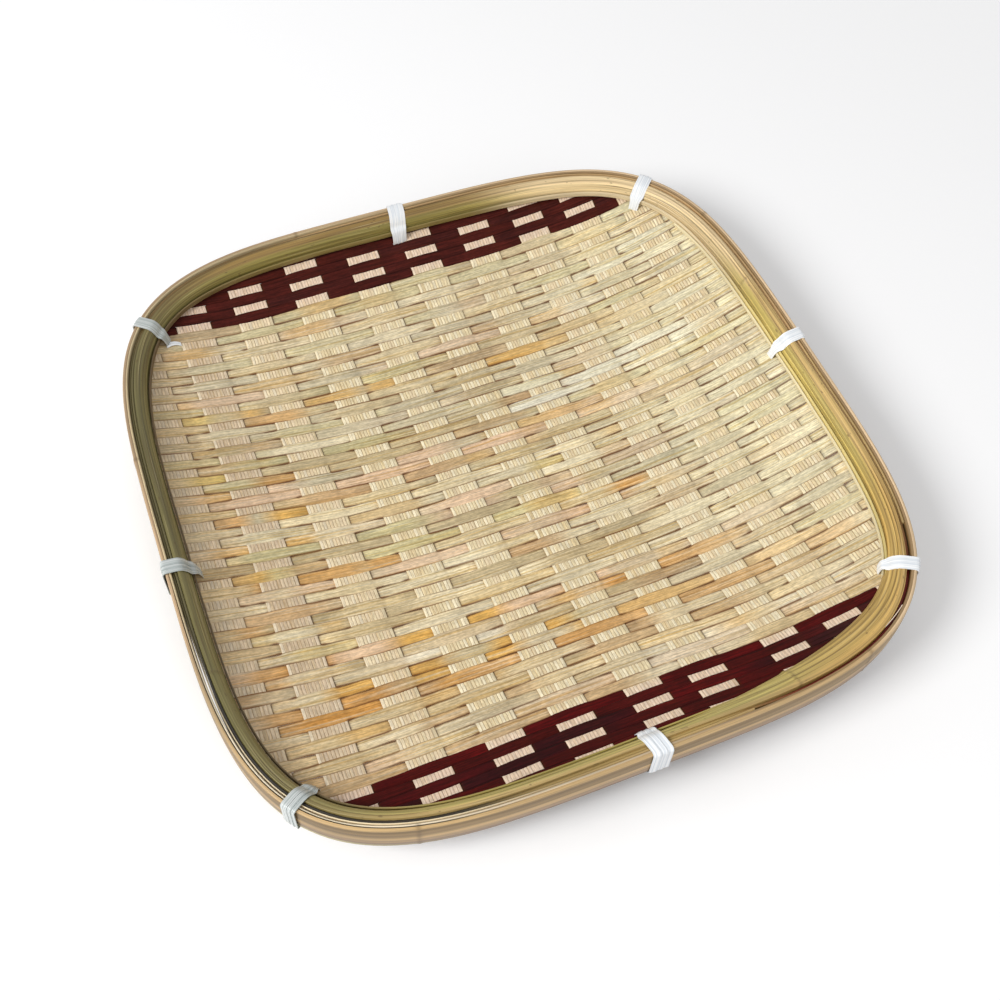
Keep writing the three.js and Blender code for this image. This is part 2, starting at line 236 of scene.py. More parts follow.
def woven_strip_look(name, fibre, depth, edge_shade, edge_shade_tone, stained, bleached, gloss):
    """Split bamboo: fine fibres along the strip, stained and bleached streaks, and edges darkened both as
    browner cut edges and with painted shade along the seams.
    """
    look = Look(name)
    tone = look.mark("tone", "Color")
    along = look.mark("along")
    across = look.mark("across")
    edge = look.mark("edge")
    seed = look.mark("seed")
    fibres = look.grain(look.vector(along * 0.09, across * fibre, seed * 90.0), 4.0, 0.65)
    specks = look.grain(look.vector(along * 0.6, across * 1.5, seed * 21.0), 3.0, 0.6)
    streaks = look.grain(look.vector(along * 0.016, across * 1.5, seed * 55.0), 2.0, 0.5)
    stain = look.step(streaks, 0.5, 0.7)
    multiply = {"data_type": "RGBA", "blend_type": "MULTIPLY"}
    warm = look.node("ShaderNodeMix", multiply, {0: stain * stained, 6: tone, 7: srgb(226, 206, 158)}, 2)
    warm = look.mix(look.step(streaks, 0.44, 0.28) * bleached, warm, srgb(240, 231, 206))
    worn = look.scaled(warm, look.step(fibres, 0.3, 0.7, 1.0 - depth, 1.0 + 0.5 * depth))
    worn = look.scaled(worn, look.step(specks, 0.32, 0.68, 0.86, 1.16))
    # Darker edges: browner cut edges, and painted shade along the seams between strips
    rim = look.step(edge, 0.58, 0.98)
    colour = look.mix(rim * edge_shade, worn, edge_shade_tone)
    look.relief(fibres + rim * -0.5, 0.35, 0.1)
    rough = look.step(fibres, 0.2, 0.8, 0.43, 0.66)
    look.shader.inputs["Specular IOR Level"].default_value = gloss
    return look.finish(Base_Color=colour, Roughness=rough)


def inner_hoop_look():
    """Bamboo skin on the inside of the rim: brown above and greener below, in lengthwise fibres."""
    look = Look("inner_hoop_skin")
    x, y, _ = look.place()
    across = look.mark("across")
    share = look.mark("share")
    groove = look.mark("groove")
    drift = look.grain(look.vector(x * 0.012, y * 0.012, 3.0), 2.0)
    bands = look.grain(look.vector(x * 0.008, y * 0.008, across * 0.75 + drift * 1.2), 2.0, 0.5)
    streaks = look.grain(look.vector(x * 0.018, y * 0.018, across * 2.2 + 60.0), 3.0, 0.6)
    fibres = look.grain(look.vector(x * 0.03, y * 0.03, across * 5.5), 4.0, 0.7)
    specks = look.grain(look.vector(x * 0.35, y * 0.35, across * 0.9 + 40.0), 1.0)
    nearness = look.step(y, -20.0, -100.0)
    lower = look.step(share + drift * 0.35 + nearness * 0.26, 0.52, 0.66)
    back = look.mix(lower, srgb(140, 112, 58), srgb(136, 124, 60))
    near = look.mix(lower, srgb(196, 168, 108), srgb(192, 176, 104))
    left = look.mix(lower, srgb(112, 104, 60), srgb(130, 122, 74))
    right = look.mix(lower, srgb(204, 172, 108), srgb(212, 190, 108))
    skin = look.mix(nearness, back, near)
    skin = look.mix(look.step(x, -60.0, -112.0), skin, left)
    skin = look.mix(look.step(x + y * 0.3 + drift * 40.0, 55.0, 135.0), skin, right)
    skin = look.mix(look.step(x - y, 150.0, 185.0) * 0.75, skin, srgb(206, 166, 92))
    skin = look.mix(look.step(x + y, 140.0, 175.0) * 0.85, skin, srgb(236, 210, 164))
    skin = look.scaled(skin, look.step(bands, 0.34, 0.64, 0.74, 1.16))
    skin = look.mix(look.step(streaks, 0.44, 0.3) * 0.72, skin, srgb(92, 64, 24))
    skin = look.mix(look.step(streaks, 0.57, 0.72) * 0.5, skin, srgb(226, 208, 156))
    skin = look.scaled(skin, look.step(fibres, 0.3, 0.7, 0.72, 1.2))
    # Painted shade along the furrows
    skin = look.mix(groove * 0.7, skin, srgb(88, 62, 26))
    skin = look.mix(look.step(specks, 0.7, 0.76) * 0.6, skin, srgb(96, 72, 38))
    skin = look.mix(look.mark("node") * 0.28, skin, srgb(84, 60, 30))
    look.relief(fibres + streaks * 0.6 - groove, 0.45, 0.15)
    look.shader.inputs["Coat Roughness"].default_value = 0.3
    rough = look.step(fibres, 0.2, 0.8, 0.38, 0.58)
    return look.finish(Base_Color=skin, Roughness=rough, Coat_Weight=bands * 0.15)


def outer_hoop_look():
    """Tan bamboo skin outside with olive bands, grey-brown at the bottom, and a pale cut edge on top."""
    look = Look("outer_hoop_skin")
    x, y, z = look.place()
    across = look.mark("across")
    inset = look.mark("inset")
    drift = look.grain(look.vector(x * 0.01, y * 0.01, 8.0), 2.0)
    bands = look.grain(look.vector(x * 0.006, y * 0.006, across * 0.5 + drift), 2.0, 0.5)
    fibres = look.grain(look.vector(x * 0.03, y * 0.03, across * 3.5), 4.0, 0.7)
    nearness = look.step(y, -50.0, -105.0) * look.step(x, 95.0, 70.0)
    skin = look.mix(look.step(bands, 0.4, 0.6), srgb(168, 138, 90), srgb(214, 178, 124))
    middle = look.step((z + drift * 4.0 - 23.8).absolute(), 3.2, 1.2)
    skin = look.mix(middle * 0.8, skin, srgb(146, 118, 74))
    low = look.step(z + drift * 4.0, 21.0, 17.0)
    skin = look.mix(low * 0.8, skin, srgb(158, 130, 106))
    skin = look.scaled(skin, look.step(bands, 0.36, 0.62, 0.84, 1.1))
    leftward = look.step(x, -50.0, -100.0)
    skin = look.scaled(skin, leftward * -0.3 + nearness * -0.08 + 1.0)
    hem = look.step(z + drift * 2.0, 15.6, 14.2) * leftward
    skin = look.mix(hem * 0.7, skin, srgb(206, 196, 140))
    crest = look.step(z, RIM_TOP - 0.9, RIM_TOP - 0.35)
    rightward = look.step(x, -90.0, 60.0)
    cut = look.mix(look.step(y, -20.0, -70.0), srgb(184, 156, 122), srgb(150, 128, 94))
    cut = look.mix(rightward, cut, srgb(234, 204, 164))
    cut = look.mix(nearness * 0.8, cut, srgb(212, 176, 122))
    cut = look.scaled(cut, look.step(bands, 0.35, 0.6, 0.88, 1.06))
    skin = look.mix(crest * 0.85, skin, cut)
    cream = look.mix(look.step(y, -20.0, -60.0), srgb(204, 186, 146), srgb(242, 228, 200))
    layer = look.mix(rightward, cream, srgb(138, 110, 70))
    skin = look.mix(look.step(inset, LAYER_SEAM, LAYER_SEAM + 0.16) * 0.85, skin, layer)
    # Painted shade down in the seam between the layers, where they gape at the front left
    painted_seam_shade = look.step((inset - LAYER_SEAM - 0.07).absolute(), 0.22, 0.1)
    front_left = look.step(x, -40.0, -80.0) * look.step(y, -5.0, -40.0)
    skin = look.mix(painted_seam_shade * front_left * 0.9, skin, srgb(36, 26, 12))
    skin = look.scaled(skin, look.step(fibres, 0.3, 0.7, 0.7, 1.16))
    skin = look.mix(look.mark("node") * 0.45, skin, srgb(98, 74, 44))
    look.relief(fibres, 0.4, 0.15)
    rough = look.step(fibres, 0.2, 0.8, 0.4, 0.58)
    return look.finish(Base_Color=skin, Roughness=rough)


def lath_look():
    """Thin raw laths: straw coloured with brown fibres."""
    look = Look("lath_wood")
    x, y, _ = look.place()
    tone = look.mark("tone", "Color")
    across = look.mark("across")
    fibres = look.grain(look.vector(x * 0.03, y * 0.03, across * 4.0), 4.0, 0.65)
    bands = look.grain(look.vector(x * 0.01, y * 0.01, across + 20.0), 1.0)
    skin = look.mix(look.step(bands, 0.42, 0.6) * 0.45, tone, look.scaled(tone, 0.62))
    skin = look.scaled(skin, look.step(fibres, 0.3, 0.7, 0.72, 1.15))
    look.relief(fibres, 0.4, 0.12)
    return look.finish(Base_Color=skin, Roughness=look.step(fibres, 0.2, 0.8, 0.42, 0.6))


def white_strip_look():
    """Flat white packing strip: faint bluish lengthwise ribs, greyed where marked with a mottled painted
    shade.
    """
    look = Look("white_strip_plastic")
    across = look.mark("across")
    along = look.mark("along")
    seed = look.mark("seed")
    ribs = look.grain(look.vector(along * 0.03, across * 2.6, seed * 30.0), 2.0)
    skin = look.mix(look.step(ribs, 0.38, 0.6), srgb(220, 226, 232), srgb(249, 250, 251))
    # Painted shade on the ties at the left, mottled along the ribs
    skin = look.mix(look.mark("tie_painted_shade") * look.step(ribs, 0.7, 0.3, 0.6, 1.0), skin, srgb(140, 150, 142))
    look.relief(ribs, 0.3, 0.08)
    return look.finish(Base_Color=skin, Roughness=look.step(ribs, 0.3, 0.7, 0.42, 0.3))


def table_look():
    """A pale table, seen lighter than the light on it makes it, and most so far from the tray."""
    look = Look("table_paint")
    x, y, _ = look.place()
    away = x * x + y * y
    beside = look.step(away, 98.0 ** 2, 145.0 ** 2)
    far = look.step(away, 200.0 ** 2, 900.0 ** 2)
    seen = look.seen()
    glow = look.mix(seen * beside, (0.0, 0.0, 0.0, 1.0), (0.16, 0.16, 0.165, 1.0))
    glow = look.mix(seen * far, glow, (0.5, 0.5, 0.5, 1.0))
    look.shader.inputs["Emission Strength"].default_value = 1.0
    return look.finish(Base_Color=(0.9, 0.9, 0.9, 1.0), Roughness=0.9, Emission_Color=glow)


# Meshes

def repeated(value, count):
    """A mark's value for each point, when it isn't such a list yet."""
    return value if isinstance(value, list) else [value] * count


class Strips:
    """Closed strips of one piece, with the marks that its material reads at each point."""

    def __init__(self):
        self.points = []
        self.faces = []
        self.marks = {}

    def add(self, rings, marks, joined=False):
        """Rings of points that run on into each other. A mark is one value, or a value for each point."""
        start = len(self.points)
        size = len(rings[0])
        for ring in rings:
            self.points.extend(ring)
        links = len(rings) if joined else len(rings) - 1
        for i in range(links):
            here = start + i * size
            there = start + ((i + 1) % len(rings)) * size
            for j in range(size):
                k = (j + 1) % size
                self.faces.append((here + j, here + k, there + k, there + j))
        if not joined:
            last = start + (len(rings) - 1) * size
            self.faces.append(tuple(start + j for j in reversed(range(size))))
            self.faces.append(tuple(last + j for j in range(size)))
        for name, value in marks.items():
            self.marks.setdefault(name, []).extend(repeated(value, len(rings) * size))

    def piece(self, name, material, slot, *replaced):
        """Makes the strips one object, which stands in for the CAD nodes that it replaces."""
        mesh = bpy.data.meshes.new(name)
        mesh.from_pydata([Vector(point) * METRE for point in self.points], [], self.faces)
        for mark, values in self.marks.items():
            if isinstance(values[0], tuple):
                layer = mesh.attributes.new(mark, "FLOAT_COLOR", "POINT")
                layer.data.foreach_set("color", [channel for tone in values for channel in tone])
            else:
                layer = mesh.attributes.new(mark, "FLOAT", "POINT")
                layer.data.foreach_set("value", values)
        work = bmesh.new()
        work.from_mesh(mesh)
        bmesh.ops.recalc_face_normals(work, faces=work.faces)
        work.to_mesh(mesh)
        work.free()
        mesh.shade_smooth()
        mesh.set_sharp_from_angle(angle=math.radians(55))
        mesh.materials.append(material)
        made = bpy.data.objects.new(name, mesh)
        bpy.context.collection.objects.link(made)
        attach(made, "root")
        if replaced:
            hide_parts(*replaced)


def signed_power(value, power):
    return math.copysign(abs(value) ** power, value)


def rim_spot(angle, inset, aside=0.0):
    """The place at an angle from the tray's middle, so far in from the rim's outside, moved along the rim."""
    c, s = math.cos(angle), math.sin(angle)
    radius = HALF_WIDTH * (abs(c) ** CORNER_POWER + abs(s) ** CORNER_POWER) ** (-1 / CORNER_POWER)
    outward = Vector((signed_power(c, CORNER_POWER - 1), signed_power(s, CORNER_POWER - 1))).normalized()
    x = radius * c - inset * outward.x - aside * outward.y
    y = radius * s - inset * outward.y + aside * outward.x
    return x, y


def station_angles(nodes=()):
    """Angles round the rim, closer together round the corners and at the bamboo's nodes."""
    turns = [2 * math.pi * i / HOOP_STATIONS for i in range(HOOP_STATIONS)]
    angles = [math.atan2(signed_power(math.sin(t), 0.8), signed_power(math.cos(t), 0.8)) for t in turns]
    for degrees in nodes:
        for shift in (-0.7, -0.4, -0.2, 0.0, 0.2, 0.4, 0.7):
            angles.append(math.remainder(math.radians(degrees + shift), 2 * math.pi))
    return sorted(angles)


def arc(start, end, steps):
    """Angles from one place round the rim to another, which are given in degrees."""
    return [math.radians(start + (end - start) * i / steps) for i in range(steps + 1)]


def node_ridge(angle, nodes):
    """How near a place round the rim is to a node of the bamboo, from 0 to 1."""
    gaps = [math.degrees(math.remainder(angle - math.radians(node), 2 * math.pi)) for node in nodes]
    return max(math.exp(-((gap / 0.3) ** 2)) for gap in gaps)


def corner_spread(angle):
    """How far the hoops are pulled apart at a place, from 0 to 1: only at the front right corner."""
    turned = math.degrees(angle) % 360
    return eased(turned, SPREAD_START, SPREAD_MIDDLE) * eased(turned, SPREAD_END, SPREAD_MIDDLE)


def mat_height(x, y):
    """Height of the middle of the mat's thickness in the solids: a dish that turns up to the rim."""
    reach = HALF_WIDTH - FOOT_LATH_OUTER
    spread = (abs(x / reach) ** CORNER_POWER + abs(y / reach) ** CORNER_POWER) ** (1 / CORNER_POWER)
    climb = max(0.0, (spread - DISH_FLAT_SHARE) / (1 - DISH_FLAT_SHARE))
    return MAT_MIDDLE + DISH_DEPTH * climb ** DISH_POWER


def mat_height_at(angle, inset):
    return mat_height(*rim_spot(angle, inset))


def seat_height(angle, inset):
    """Height of what rests on the dressed mat."""
    return mat_height_at(angle, inset) + HOOP_SEAT - MAT_DROP


def strip_reach(distance, inset=MAT_END):
    """How far a strip runs from the middle line when it lies at a distance from the other middle line."""
    half = HALF_WIDTH - inset
    share = 1 - min(1.0, abs(distance) / half) ** CORNER_POWER
    return half * share ** (1 / CORNER_POWER)


def distances(profile):
    """Running length along a profile of (inset, height) points."""
    lengths = [0.0]
    for (a, b), (c, d) in zip(profile, profile[1:]):
        lengths.append(lengths[-1] + math.hypot(c - a, d - b))
    return lengths


def hoop(profile_at, angles, joined=True, **extra):
    """A bent strip with a section of (inset, height) points at each angle. Marks may depend on the angle."""
    rings = []
    across = []
    for angle in angles:
        profile = profile_at(angle)
        rings.append([rim_spot(angle, inset) + (height,) for inset, height in profile])
        across.extend(distances(profile))
    marks = {"across": across}
    for name, value in extra.items():
        if callable(value):
            marks[name] = [v for angle in angles for v in repeated(value(angle), len(rings[0]))]
        else:
            marks[name] = value
    strips = Strips()
    strips.add(rings, marks, joined)
    return strips


# Rim

def rounded_section(outer, inner, bottom, top, radius, bulge=0.0):
    """A strip on edge, as a profile that starts and ends on its inner face."""
    middle = (bottom + top) / 2
    return [
        (inner, top - radius),
        (inner - 0.3 * radius, top - 0.3 * radius),
        (inner - radius, top),
        (outer + radius, top),
        (outer + 0.3 * radius, top - 0.3 * radius),
        (outer, top - radius),
        (outer - 0.7 * bulge, (3 * top + bottom) / 4),
        (outer - bulge, middle),
        (outer - 0.7 * bulge, (top + 3 * bottom) / 4),
        (outer, bottom + radius),
        (outer + 0.3 * radius, bottom + 0.3 * radius),
        (outer + radius, bottom),
        (inner - radius, bottom),
        (inner - 0.3 * radius, bottom + 0.3 * radius),
        (inner, bottom + radius),
    ]


def outer_hoop_profile(angle):
    """The outer hoop is two layers, so its top edge shows a seam, which gapes at the front left."""
    sway = wander(3 * math.cos(angle), 3 * math.sin(angle), 1.0)
    waver = wander(5 * math.cos(angle), 5 * math.sin(angle), 7.0)
    top = RIM_TOP - 0.1 + 0.25 * sway
    inner = OUTER_HOOP_INNER + 0.15 * waver
    outer = 0.16 - 0.14 * node_ridge(angle, OUTER_NODES)
    section = rounded_section(outer, inner, OUTER_HOOP_BOTTOM + 0.4 * waver, top, 0.4, 0.25)
    seam = LAYER_SEAM + 0.1 * sway
    turned = math.degrees(angle) % 360
    depth = 0.15 + 0.75 * eased(turned, 180, 200) * eased(turned, 256, 240)
    furrow = [(seam + 0.2, top - 0.1), (seam + 0.06, top - depth), (seam - 0.12, top)]
    return section[:3] + furrow + section[3:]


HOOP_FACE_STEPS = 26
GROOVE_ANGLES = [16, 29, 43, 57, 72]  # degrees down the inner hoop's face


def groove_depth(angle, down):
    """How deep the inner hoop's face is furrowed at a place, from 0 to 1: most on the right."""
    depth = 0.0
    rightward = eased(math.cos(angle + 0.25), 0.1, 0.75)
    for n, middle in enumerate(GROOVE_ANGLES):
        drift = 6 * wander(1.6 * math.cos(angle), 1.6 * math.sin(angle), 5.0 * n)
        chance = wander(2.2 * math.cos(angle), 2.2 * math.sin(angle), 9.0 + 4.0 * n)
        strength = eased(chance + 0.35 * rightward, -0.05, 0.4)
        depth = max(depth, strength * math.exp(-(((down - middle - drift) / 2.1) ** 2)))
    return depth


# Degrees down the inner hoop's face, from its top to its foot, at which its profile has a point
HOOP_FACE = [90 * i / HOOP_FACE_STEPS for i in range(HOOP_FACE_STEPS + 1)]


def hoop_insets(angle):
    """Insets of the inner hoop's outer face and of its foot."""
    spread = corner_spread(angle)
    return MAT_END - INNER_HOOP_OUTWARDS * spread, HOOP_FOOT + INNER_HOOP_INWARDS * spread


def inner_hoop_profile(angle):
    """A quarter of an oval that stands on the mat: upright outside, and rounded and furrowed inside."""
    outer, inner = hoop_insets(angle)
    foot = seat_height(angle, inner)
    top = INNER_HOOP_TOP + 0.2 * wander(4 * math.cos(angle), 4 * math.sin(angle), 3.0)
    crest = outer + 0.3
    profile = [(outer + 0.1, top - 0.8)]
    for down in HOOP_FACE:
        a = math.radians(down)
        sink = 1 - 0.04 * groove_depth(angle, down) + 0.04 * node_ridge(angle, INNER_NODES)
        along, up = sink * math.sin(a), sink * math.cos(a)
        profile.append((crest + (inner - crest) * along, foot + (top - foot) * up))
    return profile + [(inner - 0.4, foot - 0.3), (outer + 0.1, seat_height(angle, outer))]


def inner_hoop_marks(value):
    """A mark for each point of the inner hoop's profile, from its value so many degrees down the face."""
    return lambda angle: [value(angle, down) for down in [0] + HOOP_FACE + [90, 90]]


def lath_section(outer, inner, height):
    """The profile of a thin lath that stands on the mat."""
    def profile(angle):
        sway = 0.15 * wander(6 * math.cos(angle), 6 * math.sin(angle), outer)
        shift = FOOT_LATH_INWARDS * corner_spread(angle) + sway
        foot = seat_height(angle, (outer + inner) / 2 + shift)
        return rounded_section(outer + shift, inner + shift, foot, foot + height, (inner - outer) * 0.35)
    return profile


def around(angle, *steps):
    """A value that eases from one to the next round the rim: steps are (degrees, value), the first at 0."""
    turned = math.degrees(angle) % 360
    value = steps[0][1]
    for degrees, following in steps[1:]:
        share = eased(turned, degrees - 8, degrees + 8)
        if isinstance(value, tuple):
            value = blended(value, following, share)
        else:
            value += (following - value) * share
    return value


def filler_profile(angle):
    """The filler lath stands highest on the right and in front."""
    sway = 0.3 * wander(4 * math.cos(angle), 4 * math.sin(angle), 12.0)
    top = RIM_TOP + around(angle, (0, -0.6), (104, -1.2), (200, -0.7)) + sway
    outer = FILLER_OUTER + around(angle, (0, 0.0), (195, 0.26), (252, 0.0))
    return rounded_section(outer, FILLER_INNER, top - FILLER_HEIGHT, top, 0.2)


def filler_tone(angle):
    # Darker behind and on the left: painted shade down in the gap between the hoops
    right, back, left = srgb(200, 165, 115), srgb(134, 108, 66), srgb(116, 106, 64)
    near_left, near = srgb(236, 218, 182), srgb(198, 168, 112)
    return around(angle, (0, right), (110, back), (140, left), (200, near_left), (252, near))


def filler_missing(angle):
    """Where the filler lath is left out, at the front right corner, a gap stays open between the hoops."""
    return around(angle, (0, 0.0), (289, 1.0), (324, 0.0))


def mat_edge_profile(angle):
    """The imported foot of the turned-up strip ends, which fills up the gap between the hoops."""
    missing = filler_missing(angle)
    outer = MAT_EDGE_OUTER - 0.8 * missing
    inner = MAT_EDGE_INNER - INNER_HOOP_OUTWARDS * corner_spread(angle)
    bottom = mat_height_at(angle, MAT_END) - MAT_DROP - 1.0
    top = RIM_TOP - 1.0 - 1.5 * missing + 0.3 * wander(9 * math.cos(angle), 9 * math.sin(angle), 31.0)
    return rounded_section(outer, inner, bottom, top, 0.15)


def mat_edge_tone(angle):
    """Brown to olive, darkened with painted shade down in the gap between the hoops and nearly black at the
    front left, and wine red where the filler lath is left out.
    """
    right, back, left = srgb(190, 155, 105), srgb(110, 88, 50), srgb(98, 90, 54)
    dark, near = srgb(36, 28, 14), srgb(176, 148, 88)
    tone = around(angle, (0, right), (75, back), (140, left), (197, dark), (250, near), (335, right))
    return blended(tone, srgb(140, 36, 28), filler_missing(angle))


outer_look = outer_hoop_look()
inner_look = inner_hoop_look()
lath_finish = lath_look()
splint_look = woven_strip_look(
    "splint_fibre", fibre=5.0, depth=0.18, edge_shade=0.4, edge_shade_tone=srgb(150, 106, 50),
    stained=0.4, bleached=0.0, gloss=0.35,
)
weft_look = woven_strip_look(
    "weft_fibre", fibre=2.4, depth=0.3, edge_shade=0.9, edge_shade_tone=srgb(108, 60, 10),
    stained=0.8, bleached=0.35, gloss=0.35,
)
dyed_look = woven_strip_look(
    "dyed_fibre", fibre=2.4, depth=0.5, edge_shade=0.6, edge_shade_tone=srgb(16, 4, 4),
    stained=0.8, bleached=0.0, gloss=0.08,
)
tie_look = white_strip_look()

rim_angles = station_angles()
outer_marks = {
    "inset": lambda angle: [inset for inset, _ in outer_hoop_profile(angle)],
    "node": lambda angle: node_ridge(angle, OUTER_NODES),
}
outer_hoop = hoop(outer_hoop_profile, station_angles(OUTER_NODES), **outer_marks)
outer_hoop.piece("outer_hoop_bamboo", outer_look, "outer_bamboo", "outer_hoop")
inner_marks = {
    "share": inner_hoop_marks(lambda angle, down: down / 90),
    "groove": inner_hoop_marks(groove_depth),
    "node": lambda angle: node_ridge(angle, INNER_NODES),
}
inner_hoop = hoop(inner_hoop_profile, station_angles(INNER_NODES), **inner_marks)
inner_hoop.piece("inner_hoop_bamboo", inner_look, "inner_bamboo", "inner_hoop")
filler = hoop(filler_profile, arc(-34, 286, 240), False, tone=filler_tone)
filler.piece("filler_lath_strip", lath_finish, "lath_bamboo", "filler_lath")


def foot_lath_tone(angle):
    """Yellow-green in front, olive behind, greyer and darker with painted shade on the left, and straw
    coloured on the right.
    """
    tone = blended(srgb(180, 164, 92), srgb(146, 128, 72), eased(math.sin(angle), -0.2, 0.6))
    tone = blended(tone, srgb(112, 92, 62), eased(-math.cos(angle), 0.3, 0.8))
    tone = blended(tone, srgb(236, 216, 144), eased(math.cos(angle), 0.4, 0.85))
    return blended(tone, srgb(236, 216, 176), eased(math.sin(angle) + math.cos(angle), 1.2, 1.36))


foot_lath_section = lath_section(FOOT_LATH_OUTER, FOOT_LATH_INNER, FOOT_LATH_HEIGHT - FOOT_LATH_LOWERED)
foot_lath = hoop(foot_lath_section, rim_angles, tone=foot_lath_tone)
foot_lath.piece("foot_lath_strip", lath_finish, "lath_bamboo", "foot_lath")
mat_edge = hoop(mat_edge_profile, rim_angles, tone=mat_edge_tone)
mat_edge.piece("mat_edge_band", lath_finish, "warp_splint", "turned_up_mat_edge")


SPLINTER_START = 308.2
SPLINTER_END = 312.6


def splinter_profile(angle):
    """A splinter that came loose from the outer hoop and lies across the gap."""
    share = (SPLINTER_END - math.degrees(angle) % 360) / (SPLINTER_END - SPLINTER_START)
    inset = OUTER_HOOP_INNER + 0.1 + 0.9 * share
    top = RIM_TOP - 0.3 - 0.2 * share
    return rounded_section(inset, inset + 0.32, top - 0.4, top, 0.1)


splinter = hoop(splinter_profile, arc(SPLINTER_START, SPLINTER_END, 12), False, tone=srgb(240, 220, 196))
splinter.piece("hoop_splinter", lath_finish, "outer_bamboo")

# On the right a second, lower lath lies inside the foot lath
side_lath_section = lath_section(SIDE_LATH_OUTER, SIDE_LATH_INNER, SIDE_LATH_HEIGHT)
side_lath = hoop(side_lath_section, arc(-42, 36, 60), False, tone=srgb(244, 230, 188))
side_lath.piece("side_lath_strip", lath_finish, "lath_bamboo")

# Mat


def row_centre(row):
    """How far along Y the middle of a row lies in the solids: rows are counted from 0 in the middle."""
    pale = min(abs(row), PALE_ROWS)
    dark = abs(row) - pale
    seam = (WEFT_PITCH - DARK_PITCH) / 2 if dark > 0 else 0.0
    return WEFT_SHIFT + math.copysign(pale * WEFT_PITCH + dark * DARK_PITCH + seam, row)


def weft_over(row, bundle):
    """Whether a weft passes over a bundle: they take turns."""
    return (row + bundle) % 2 != 0


def row_line(row, x):
    """How far along Y a row's middle lies at a place: rows were beaten down unevenly and bend a little."""
    y = row_centre(row)
    bend = max(-0.6, 3.3 * (1 - ((y - 8) / 82) ** 2)) * eased(-x, 15, 90)
    bend -= 1.2 * eased(x, -45, 40) + 1.5 * eased(x, 10, 60) * eased(-y, 35, 75)
    return y + ROW_SLANT * x + bend


CREAM = srgb(236, 221, 184)
STRAW = srgb(222, 201, 156)
BEIGE = srgb(204, 184, 142)
STONE = srgb(210, 196, 162)
GREENISH = srgb(212, 199, 150)
WHITISH = srgb(243, 236, 212)
PINKISH = srgb(224, 192, 158)
TAN = srgb(200, 166, 122)
YELLOW = srgb(222, 192, 90)
HONEY = srgb(226, 176, 88)
AMBER = srgb(214, 152, 68)
MAROON = srgb(92, 8, 12)
OXBLOOD = srgb(66, 8, 8)
NIGHT = srgb(50, 8, 14)
SLATE = srgb(60, 34, 36)
RUSSET = srgb(84, 40, 32)
# Painted shade for the slits beside a bundle, where a weft dives under it
PAINTED_SLIT_SHADE = srgb(70, 42, 14)  # in the slits beside a bundle

WEFT_TONES = [CREAM, CREAM, STRAW, STRAW, BEIGE, TAN, STONE, GREENISH, PINKISH]
FRONT_DYES = [OXBLOOD, MAROON, OXBLOOD, NIGHT, NIGHT]
BACK_DYES = [NIGHT, OXBLOOD]

# Tints of the pale wefts towards the sides of the tray; those to the right and left are painted light:
# brighter on the right, and a warm reflected light beside the left rim
FRONT_TINT = srgb(214, 176, 124)
BACK_TINT = srgb(200, 186, 160)
RIGHT_PAINTED_LIGHT = srgb(244, 235, 198)
LEFT_RIM_PAINTED_LIGHT = srgb(228, 194, 148)
